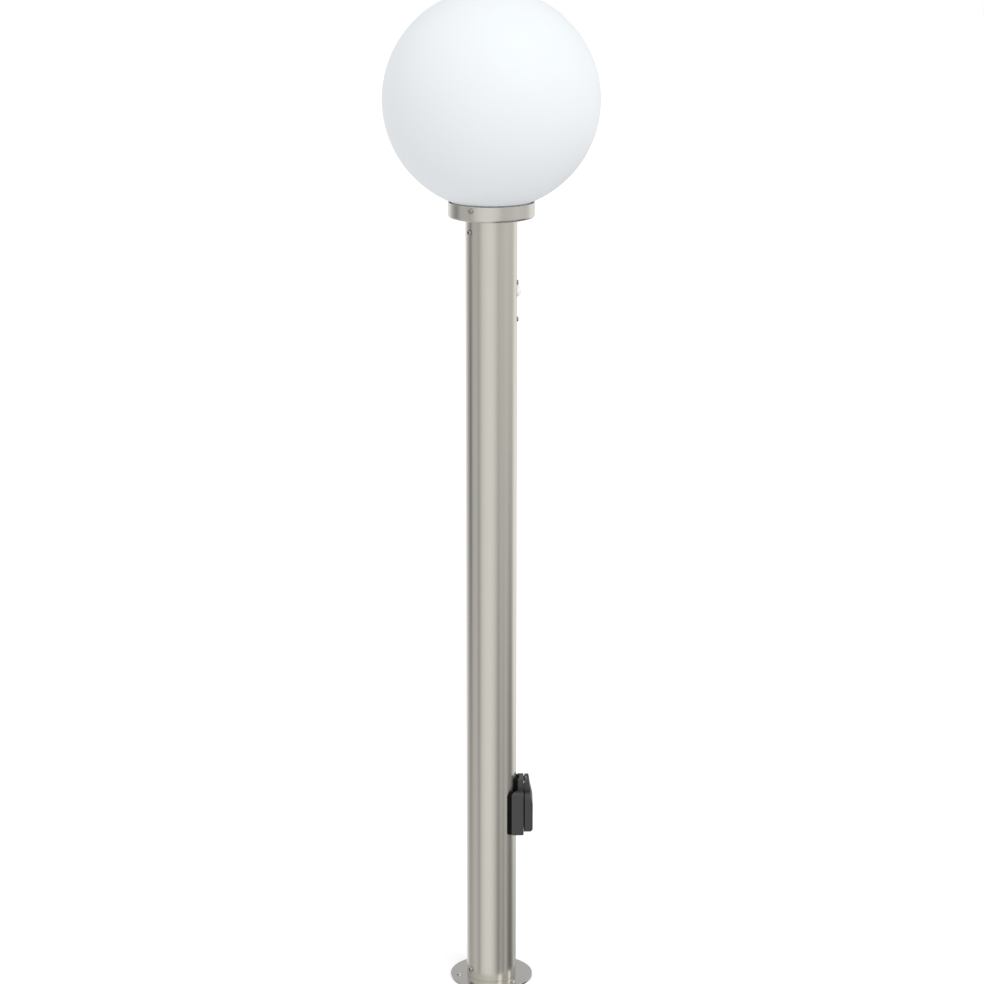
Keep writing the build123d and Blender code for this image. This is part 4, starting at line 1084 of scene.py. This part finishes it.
@dataclass
class Tube:
    """The brushed tube with the cut-outs for the socket, the sensor and the screws."""

    wall: float = 1.5 * MM
    end_chamfer: float = 0.3 * MM
    chamfer_steps: int = 2
    hole_chamfer: float = 0.12 * MM
    fixing_angle: float = -145.6
    fixing_count: int = 2
    fixing_hole_radius: float = 2.25 * MM
    socket_radius: float = 21.2 * MM
    socket_screw_radius: float = 1.8 * MM
    socket_screw_reach: float = 16.5 * MM
    socket_screw_rise: float = 20.0 * MM
    lens_hole_radius: float = 7.0 * MM
    sensor_screw_radius: float = 1.65 * MM
    dial_hole_radius: float = 3.0 * MM
    overrun: float = 2.0 * MM
    sides: int = 360

    def side_hole(self, radius: float, across: float, height: float) -> bpy.types.Object:
        """A cutter through the wall that faces +X.

        Args:
            radius: The hole's radius.
            across: Its place along Y.
            height: Its height.

        Returns:
            The cutter.
        """
        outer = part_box("post_tube")[1].x
        surface = math.sqrt(outer**2 - across**2)
        inner = max(outer - 2 * self.wall, 0.0)
        deep = surface - math.sqrt(inner**2 - (abs(across) + radius) ** 2)
        place = facing((surface, across, height), FRONT)
        return drill(radius, deep + self.overrun, self.overrun, 0.0, place)

    def fixing_holes(self) -> list[bpy.types.Object]:
        """Cutters for the screws at the tube's foot and top.

        Returns:
            The cutters.
        """
        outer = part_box("post_tube")[1].x
        places = [
            place
            for node in ("base_screws", "head_screws")
            for place in round_places(
                outer, middle_height(node), self.fixing_angle, self.fixing_count
            )
        ]
        depth = 2 * self.wall
        return [
            drill(self.fixing_hole_radius, depth, self.overrun, self.hole_chamfer, place)
            for place in places
        ]

    def socket_holes(self) -> list[bpy.types.Object]:
        """Cutters for the socket and its four screws.

        Returns:
            The cutters.
        """
        middle = middle_height("socket_insert")
        holes = [self.side_hole(self.socket_radius, 0.0, middle)]
        for side in (-1, 1):
            for end in (-1, 1):
                across = side * self.socket_screw_reach
                height = middle + end * self.socket_screw_rise
                holes.append(self.side_hole(self.socket_screw_radius, across, height))
        return holes

    def sensor_holes(self) -> list[bpy.types.Object]:
        """Cutters for the sensor's lens, its two dials and its two screws.

        Returns:
            The cutters.
        """
        holes = [self.side_hole(self.lens_hole_radius, 0.0, middle_height("motion_detector"))]
        for dial in ("time_dial", "lux_dial"):
            holes.append(self.side_hole(self.dial_hole_radius, 0.0, middle_height(dial)))
        for height in spacer_heights():
            holes.append(self.side_hole(self.sensor_screw_radius, 0.0, height))
        return holes

    def shell(self) -> bpy.types.Object:
        """The tube, its ends broken and its holes cut.

        Returns:
            The tube.
        """
        low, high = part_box("post_tube")
        bore = high.x - self.wall
        ends = [(bore, low.z), (high.x, low.z), (high.x, high.z), (bore, high.z)]
        outline = rounded([Corner(*end, self.end_chamfer) for end in ends], self.chamfer_steps)
        tube = lathed("tube_shell", outline, self.sides)
        cut(tube, self.fixing_holes() + self.socket_holes() + self.sensor_holes())
        keep_round(tube, (high.x, bore))
        return tube

    def build(self) -> None:
        """Builds the tube."""
        stand_in(self.shell(), Body.POST, "brushed_tube", BRUSHED_TUBE, "post_tube")


@dataclass
class Head:
    """The cup that carries the globe, with its spigot, screws and nipple."""

    wall: float = 1.2 * MM
    edge_radius: float = 3.0 * MM
    edge_steps: int = 8
    rim_radius: float = 0.5 * MM
    screw_angle: float = -118.0
    screw_count: int = 2
    screw_hole_radius: float = 2.1 * MM
    nipple_hole_radius: float = 5.05 * MM
    hole_chamfer: float = 0.12 * MM
    overrun: float = 1.0 * MM
    sides: int = 360

    def cup(self) -> bpy.types.Object:
        """The spun cup with a rolled bottom edge and a dressed rim.

        Returns:
            The cup.
        """
        low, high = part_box("collar_cup")
        bore = high.x - self.wall
        floor = low.z + self.wall
        outline = rounded(
            [
                Corner(self.nipple_hole_radius, low.z),
                Corner(high.x, low.z, self.edge_radius),
                Corner(high.x, high.z, self.rim_radius),
                Corner(bore, high.z, self.rim_radius),
                Corner(bore, floor, self.edge_radius - self.wall),
                Corner(self.nipple_hole_radius, floor),
            ],
            self.edge_steps,
        )
        cup = lathed("cup_shell", outline, self.sides)
        height = middle_height("globe_screws")
        depth = 2 * self.wall
        holes = [
            drill(self.screw_hole_radius, depth, self.overrun, self.hole_chamfer, place)
            for place in round_places(high.x, height, self.screw_angle, self.screw_count)
        ]
        cut(cup, holes)
        keep_round(cup, (high.x, bore))
        return cup

    def build(self) -> None:
        """Builds the cup and dresses the rest of the head."""
        stand_in(self.cup(), Body.POST, "brushed_cup", BRUSHED_CUP, "collar_cup")
        carry(INNER_STEEL, "head_spigot", "nipple", "nipple_nuts")
        carry(SCREW_STEEL, "head_screws", "globe_screws")
        carry(CLEAR_SEAL, "globe_seal")


@dataclass
class Globe:
    """The opal globe with its neck and lip inside the cup."""

    wall: float = 3.0 * MM
    neck_radius: float = 46.0 * MM
    lip_radius: float = 47.5 * MM
    lip_height: float = 4.0 * MM
    edge_radius: float = 0.8 * MM
    steps: int = 96
    sides: int = 256

    def shell(self) -> bpy.types.Object:
        """The globe as one turned shell, inside and outside.

        Returns:
            The globe.
        """
        low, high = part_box("globe")
        radius = high.x
        centre = high.z - radius
        inner = radius - self.wall
        bore = self.neck_radius - self.wall
        outer_end = math.degrees(-math.acos(self.neck_radius / radius))
        inner_end = math.degrees(-math.acos(bore / inner))
        foot = rounded(
            [
                Corner(self.neck_radius, centre),
                Corner(self.neck_radius, low.z + self.lip_height, self.edge_radius),
                Corner(self.lip_radius, low.z + self.lip_height, self.edge_radius),
                Corner(self.lip_radius, low.z, self.edge_radius),
                Corner(bore, low.z, self.edge_radius),
            ]
        )
        outline = arc((0.0, centre), radius, RIGHT_ANGLE, outer_end, self.steps)
        outline += foot[1:]
        outline += arc((0.0, centre), inner, inner_end, RIGHT_ANGLE, self.steps)
        return lathed("opal_shell", outline, self.sides)

    def build(self) -> None:
        """Builds the globe."""
        stand_in(self.shell(), Body.POST, "opal_globe", OPAL, "globe")


@dataclass
class Lamp:
    """The lampholder and the bulb inside the globe."""

    def build(self) -> None:
        """Dresses the lampholder and the bulb."""
        carry(HOLDER, "lampholder_cap", "lampholder_shell")
        carry(CERAMIC, "lampholder_core")
        carry(BRASS, "thread_shell", "centre_contact")
        carry(INSULATOR, "bulb_tip")
        carry(BULB_NICKEL, "bulb_cap")
        carry(BULB_GLASS, "bulb_envelope")


@dataclass
class SocketBox:
    """The socket outlet low on the post, with its sprung lid."""

    spring_turns: float = 3.5
    spring_start: float = -90.0
    spring_wire_radius: float = 0.3 * MM
    spring_leg: float = 2.2 * MM
    spring_steps: int = 24

    def spring(self) -> bpy.types.Object:
        """The torsion spring wound round the hinge pin.

        Returns:
            The spring.
        """
        pin_low, pin_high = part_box("lid_pin")
        low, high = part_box("lid_spring")
        across = (pin_low.x + pin_high.x) / 2
        height = (pin_low.z + pin_high.z) / 2
        radius = high.x - across - self.spring_wire_radius
        start = high.y - self.spring_wire_radius
        end = low.y + self.spring_wire_radius
        count = int(self.spring_turns * self.spring_steps)
        points = [(across - self.spring_leg, start, height - radius)]
        for step in range(count + 1):
            angle = math.radians(self.spring_start) + FULL_TURN * self.spring_turns * step / count
            along = start + (end - start) * step / count
            side = across + radius * math.cos(angle)
            points.append((side, along, height + radius * math.sin(angle)))
        points.append((points[-1][0], end, points[-1][2] + self.spring_leg))
        return wire("torsion_spring", points, self.spring_wire_radius)

    def build(self) -> None:
        """Winds the spring and dresses the socket."""
        stand_in(self.spring(), Body.POST, "inner_steel", INNER_STEEL, "lid_spring")
        carry(CHARCOAL, "socket_housing")
        carry(CHARCOAL_LID, "lid")
        carry(RUBBER, "socket_gasket", "lid_seal")
        carry(BLACK_PLASTIC, "socket_insert")
        carry(SCREW_STEEL, "socket_screws", "centre_screw")
        carry(DARK_PIN, "lid_pin")
        carry(CARRIER, "contact_carrier")
        carry(BRASS, "live_contact", "neutral_contact", "earth_clip", "contact_screws")


def eased(share: float) -> float:
    """A rise from 0 to 1 that is level at both ends."""
    return share * share * (3 - 2 * share)


@dataclass
class MotionSensor:
    """The motion sensor near the top of the post, with its lens, dials and board."""

    lens_radius: float = 6.7 * MM
    lens_wall: float = 1.0 * MM
    flange_thickness: float = 1.0 * MM
    notch_radius: float = 3.3 * MM
    panel_rows: int = 5
    panel_columns: int = 14
    columns_lost: int = 3
    groove_depth: float = 0.12 * MM
    groove_share: float = 0.14
    dome_steps: int = 60
    sides: int = 168

    @staticmethod
    def cap_rise(radius: float, rise: float, reach: float) -> float:
        """How high a round cap of a given foot and top stands at a reach from its axis."""
        sphere = (radius**2 + rise**2) / (2 * rise)
        return math.sqrt(max(sphere**2 - reach**2, 0.0)) - (sphere - rise)

    def cap(self, radius: float, rise: float, base: float) -> list[Point]:
        """The outline of a round cap, from its foot to its top.

        Args:
            radius: The radius of the cap's foot.
            rise: The height of its top.
            base: The height of its foot.

        Returns:
            Pairs of radius and height.
        """
        points = []
        for step in range(self.dome_steps + 1):
            reach = radius * math.cos(math.pi / 2 * step / self.dome_steps)
            reach = 0.0 if step == self.dome_steps else reach
            points.append((reach, base + self.cap_rise(radius, rise, reach)))
        return points

    def grooved(self, share_up: float, share_round: float) -> float:
        """How deep the dome's surface lies at a place, for the lines between its panels.

        Args:
            share_up: 0 at the dome's edge and 1 at its top.
            share_round: How far round the dome, from 0 to 1.

        Returns:
            The depth.
        """
        row = share_up * self.panel_rows
        columns = max(self.panel_columns - self.columns_lost * int(row), 1)
        column = share_round * columns + (int(row) % 2) / 2
        edge = min(row % 1.0, 1 - row % 1.0)
        if columns > 1:
            edge = min(edge, column % 1.0, 1 - column % 1.0)
        return self.groove_depth * (1 - eased(min(edge / self.groove_share, 1.0)))

    def engrave(self, dome: bpy.types.Object, base: float, rise: float) -> None:
        """Presses the lines between the panels into the dome.

        Args:
            dome: The turned lens, its axis along Z.
            base: The height of the dome's foot.
            rise: How high its top stands above the foot.
        """
        for vertex in dome.data.vertices:
            reach = Vector(vertex.co.xy).length
            above = vertex.co.z - base
            outer = self.cap_rise(self.lens_radius, rise, reach)
            if above > TINY and abs(above - outer) < self.groove_depth:
                around = math.atan2(vertex.co.y, vertex.co.x) / FULL_TURN + 0.5
                vertex.co.z -= self.grooved(1 - reach / self.lens_radius, around)

    def lens(self) -> bpy.types.Object:
        """The domed lens, panelled outside, with a flange behind the post's wall.

        Returns:
            The lens.
        """
        low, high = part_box("sensor_lens")
        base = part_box("post_tube")[1].x
        rise = high.x - base
        flange_radius = (high.y - low.y) / 2
        height = low.z + flange_radius
        bore = self.lens_radius - self.lens_wall
        flange_top = low.x + self.flange_thickness
        outline = [
            (bore, low.x),
            (flange_radius, low.x),
            (flange_radius, flange_top),
            (self.lens_radius, flange_top),
        ]
        outline += self.cap(self.lens_radius, rise, base)
        outline += reversed(self.cap(bore, rise - self.lens_wall, base))
        dome = lathed("panelled_lens", outline, self.sides)
        self.engrave(dome, base, rise)
        turned = Matrix.Rotation(math.radians(RIGHT_ANGLE), 4, "Y")
        dome.data.transform(Matrix.Translation((0.0, 0.0, height)) @ turned)
        thickness = self.flange_thickness
        place = facing((flange_top, 0.0, spacer_heights()[1]), FRONT)
        cut(dome, [drill(self.notch_radius, 2 * thickness, thickness / 2, 0.0, place)])
        return dome

    def build(self) -> None:
        """Builds the lens and dresses the rest of the sensor."""
        stand_in(self.lens(), Body.POST, "lens_plastic", LENS, "sensor_lens")
        carry(SCREW_STEEL, "sensor_screws", "motion_detector")
        carry(DIAL, "time_dial", "lux_dial")
        carry(GREEN_BOARD, "sensor_board")
        carry(RELAY, "relay", "potentiometers")
        carry(CARRIER, "board_spacers")
        carry(INNER_STEEL, "board_nuts")


@dataclass
class Wiring:
    """The bracket in the foot and the leads that run up the post."""

    def build(self) -> None:
        """Dresses the bracket, its terminals and the leads."""
        carry(INNER_STEEL, "wiring_bracket")
        carry(CARRIER, "terminal_block", "cable_clamp")
        carry(SCREW_STEEL, "bracket_screws", "block_screws", "clamp_screws", "earth_screw")
        carry(BRASS, "terminal_screws")
        carry(CORE_COVER, "socket_leads", "earth_lead")
        carry(SHEATH, "sensor_cable", "lamp_cable")


@dataclass
class Studio:
    """The floor, the soft light and the camera.

    Each level of the walls, and the ceiling, is a row of pairs: an angle round the post, 0
    towards the camera and 90 to its right, and how bright the wall is there. level_edges
    says how steeply up one looks where each level gives way to the next.
    """

    camera_place: Triple = (0.0, -3.23, 1.44)
    camera_tilt: float = 14.35
    camera_pan: float = -0.013
    lens_mm: float = 103.4
    sensor_mm: float = 36.0
    floor_radius: float = 14.0
    floor_sides: int = 96
    floor_colour: Colour = tone(0.8, 0.8, 0.8)
    floor_glow: float = 0.3
    ambient: float = 0.9
    key_strength: float = 0.7
    key_spread: float = 50.0
    key_turn: Triple = (48.0, 0.0, 38.0)
    level_edges: Sequence[Point] = ((-0.385, -0.33), (-0.31, -0.24), (-0.21, -0.165), (0.1, 0.3))
    ceiling: Sequence[Point] = (
        (-180, 0.58), (-125, 0.62), (-100, 0.8), (-55, 0.95), (-10, 1.1), (18, 1.0), (30, 0.85),
        (36, 1.7), (46, 1.7), (52, 0.8), (86, 0.72), (90, 1.7), (97, 1.7), (103, 0.65),
        (135, 0.6), (180, 0.58),
    )
    high_walls: Sequence[Point] = (
        (-180, 0.64), (-152, 1.05), (-136, 0.74), (-122, 0.48), (-108, 0.38), (-100, 0.42),
        (-91, 0.57), (-68, 0.57), (-58, 0.61), (-50, 0.66), (-36, 0.82), (-22, 0.89), (-4, 0.93),
        (10, 0.89), (22, 0.8), (33, 0.7), (50, 0.73), (66, 0.8), (106, 0.77), (114, 0.73),
        (124, 0.92), (134, 1.02), (158, 0.86), (180, 0.64),
    )
    upper_walls: Sequence[Point] = (
        (-180, 0.64), (-152, 1.05), (-138, 0.74), (-122, 0.46), (-114, 0.22), (-108, 0.06),
        (-102, 0.1), (-94, 0.52), (-76, 0.64), (-66, 0.56), (-60, 0.36), (-53, 0.5), (-44, 0.76),
        (-36, 0.82), (-22, 0.89), (-2, 0.93), (10, 0.91), (20, 0.79), (32, 0.63), (44, 0.61),
        (80, 0.7), (90, 0.68), (98, 0.62), (106, 0.6), (115, 0.82), (124, 1.08), (140, 1.05),
        (180, 0.64),
    )
    middle_walls: Sequence[Point] = (
        (-180, 0.64), (-152, 1.05), (-138, 0.72), (-123, 0.5), (-108, 0.38), (-93, 0.56),
        (-76, 0.66), (-66, 0.54), (-60, 0.34), (-53, 0.5), (-44, 0.78), (-36, 0.84), (-22, 0.91),
        (-2, 0.92), (10, 0.86), (20, 0.7), (28, 0.45), (34, 0.36), (42, 0.58), (50, 0.7),
        (58, 0.5), (66, 0.58), (76, 0.58), (84, 0.42), (91, 0.28), (98, 0.23), (106, 0.4),
        (114, 0.8), (124, 1.12), (136, 1.05), (180, 0.64),
    )
    low_walls: Sequence[Point] = (
        (-180, 0.64), (-152, 1.03), (-138, 0.66), (-122, 0.54), (-106, 0.55), (-76, 0.67),
        (-68, 0.58), (-60, 0.49), (-45, 0.78), (-26, 0.91), (-8, 0.91), (6, 0.76), (20, 0.5),
        (34, 0.2), (42, 0.4), (50, 0.4), (58, 0.2), (67, 0.5), (75, 0.5), (83, 0.2), (92, 0.13),
        (99, 0.11), (108, 0.14), (118, 0.27), (134, 0.58), (150, 0.42), (180, 0.64),
    )

    @staticmethod
    def ramp_stops(stops: Iterable[Point]) -> list[Point]:
        """Turns stops by angle into stops from 0 to 1."""
        return [(angle / FULL_DEGREES + 0.5, level) for angle, level in stops]

    def walls(self, nodes: Nodes) -> bpy.types.NodeSocket:
        """The walls and the ceiling that the metal reflects.

        Args:
            nodes: The world's node tree.

        Returns:
            Their colour, by the direction in which one looks.
        """
        towards = nodes.add("ShaderNodeTexCoord").outputs["Generated"]
        right, back, up = nodes.axes(towards)
        turn = right.angle_with(back * -1.0) * (1 / FULL_TURN) + 0.5
        walls, *higher = (
            nodes.add("ShaderNodeValToRGB", {"stops": self.ramp_stops(stops)}, {0: turn}).outputs[0]
            for stops in (
                self.low_walls,
                self.middle_walls,
                self.upper_walls,
                self.high_walls,
                self.ceiling,
            )
        )
        for edges, level in zip(self.level_edges, higher):
            walls = nodes.blend(up.between(*edges), walls, level)
        return walls

    def world(self) -> None:
        """White to the camera, even light on matt surfaces, and walls in reflections."""
        world = bpy.data.worlds.new("studio")
        bpy.context.scene.world = world
        world.use_nodes = True
        nodes = Nodes(world.node_tree)
        walls = self.walls(nodes)
        rays = nodes.add("ShaderNodeLightPath")
        seen = nodes.signal(rays, "Is Camera Ray") + nodes.signal(rays, "Is Transmission Ray")
        soft = shaded(WHITE, self.ambient)
        lit = nodes.blend(nodes.signal(rays, "Is Glossy Ray"), soft, walls)
        colour = nodes.blend(seen.between(0.0, 1.0), lit, WHITE)
        shader = nodes.add("ShaderNodeBackground", values={"Color": colour, "Strength": 1.0})
        nodes.add("ShaderNodeOutputWorld", values={"Surface": shader.outputs[0]})

    def floor(self) -> None:
        """A pale floor that glows to the camera and keeps the post's shadow."""
        builder = bmesh.new()
        bmesh.ops.create_circle(
            builder, cap_ends=True, segments=self.floor_sides, radius=self.floor_radius
        )
        floor = finished_mesh("studio_floor", builder)
        material = bpy.data.materials.new("studio_floor")
        material.use_nodes = True
        nodes = Nodes(material.node_tree)
        paper = nodes.add("ShaderNodeBsdfDiffuse", values={"Color": self.floor_colour})
        rays = nodes.add("ShaderNodeLightPath")
        glow = nodes.signal(rays, "Is Camera Ray") * self.floor_glow
        light = nodes.add("ShaderNodeEmission", values={"Strength": glow})
        both = nodes.add("ShaderNodeAddShader", values={0: paper.outputs[0], 1: light.outputs[0]})
        nodes.add("ShaderNodeOutputMaterial", values={"Surface": both.outputs[0]})
        floor.data.materials.append(material)
        floor.visible_glossy = False

    def key(self) -> None:
        """The wide key lamp from the upper right, in front of the post."""
        lamp = bpy.data.lights.new("key", "SUN")
        lamp.energy = self.key_strength
        lamp.angle = math.radians(self.key_spread)
        holder = placed("key", lamp)
        holder.rotation_euler = [math.radians(angle) for angle in self.key_turn]
        holder.visible_glossy = False

    def camera(self) -> None:
        """The camera where the photo was taken, a little higher than the globe's top."""
        data = bpy.data.cameras.new("camera")
        data.lens = self.lens_mm
        data.sensor_width = self.sensor_mm
        holder = placed("camera", data)
        holder.location = self.camera_place
        pitch = math.radians(RIGHT_ANGLE - self.camera_tilt)
        holder.rotation_euler = (pitch, 0.0, math.radians(self.camera_pan))
        bpy.context.scene.camera = holder

    def build(self) -> None:
        """Sets up the whole studio."""
        bpy.context.scene.view_settings.view_transform = "Standard"
        self.world()
        self.floor()
        self.key()
        self.camera()
        log.info("studio is ready")


def main() -> None:
    """Builds the studio and the post, sub-assembly by sub-assembly."""
    logging.basicConfig(level=logging.INFO, format="%(name)s: %(message)s")
    assemblies = (
        Studio(),
        Foot(),
        Tube(),
        Head(),
        Globe(),
        Lamp(),
        SocketBox(),
        MotionSensor(),
        Wiring(),
    )
    for assembly in assemblies:
        assembly.build()


if __name__ == "__main__":
    main()
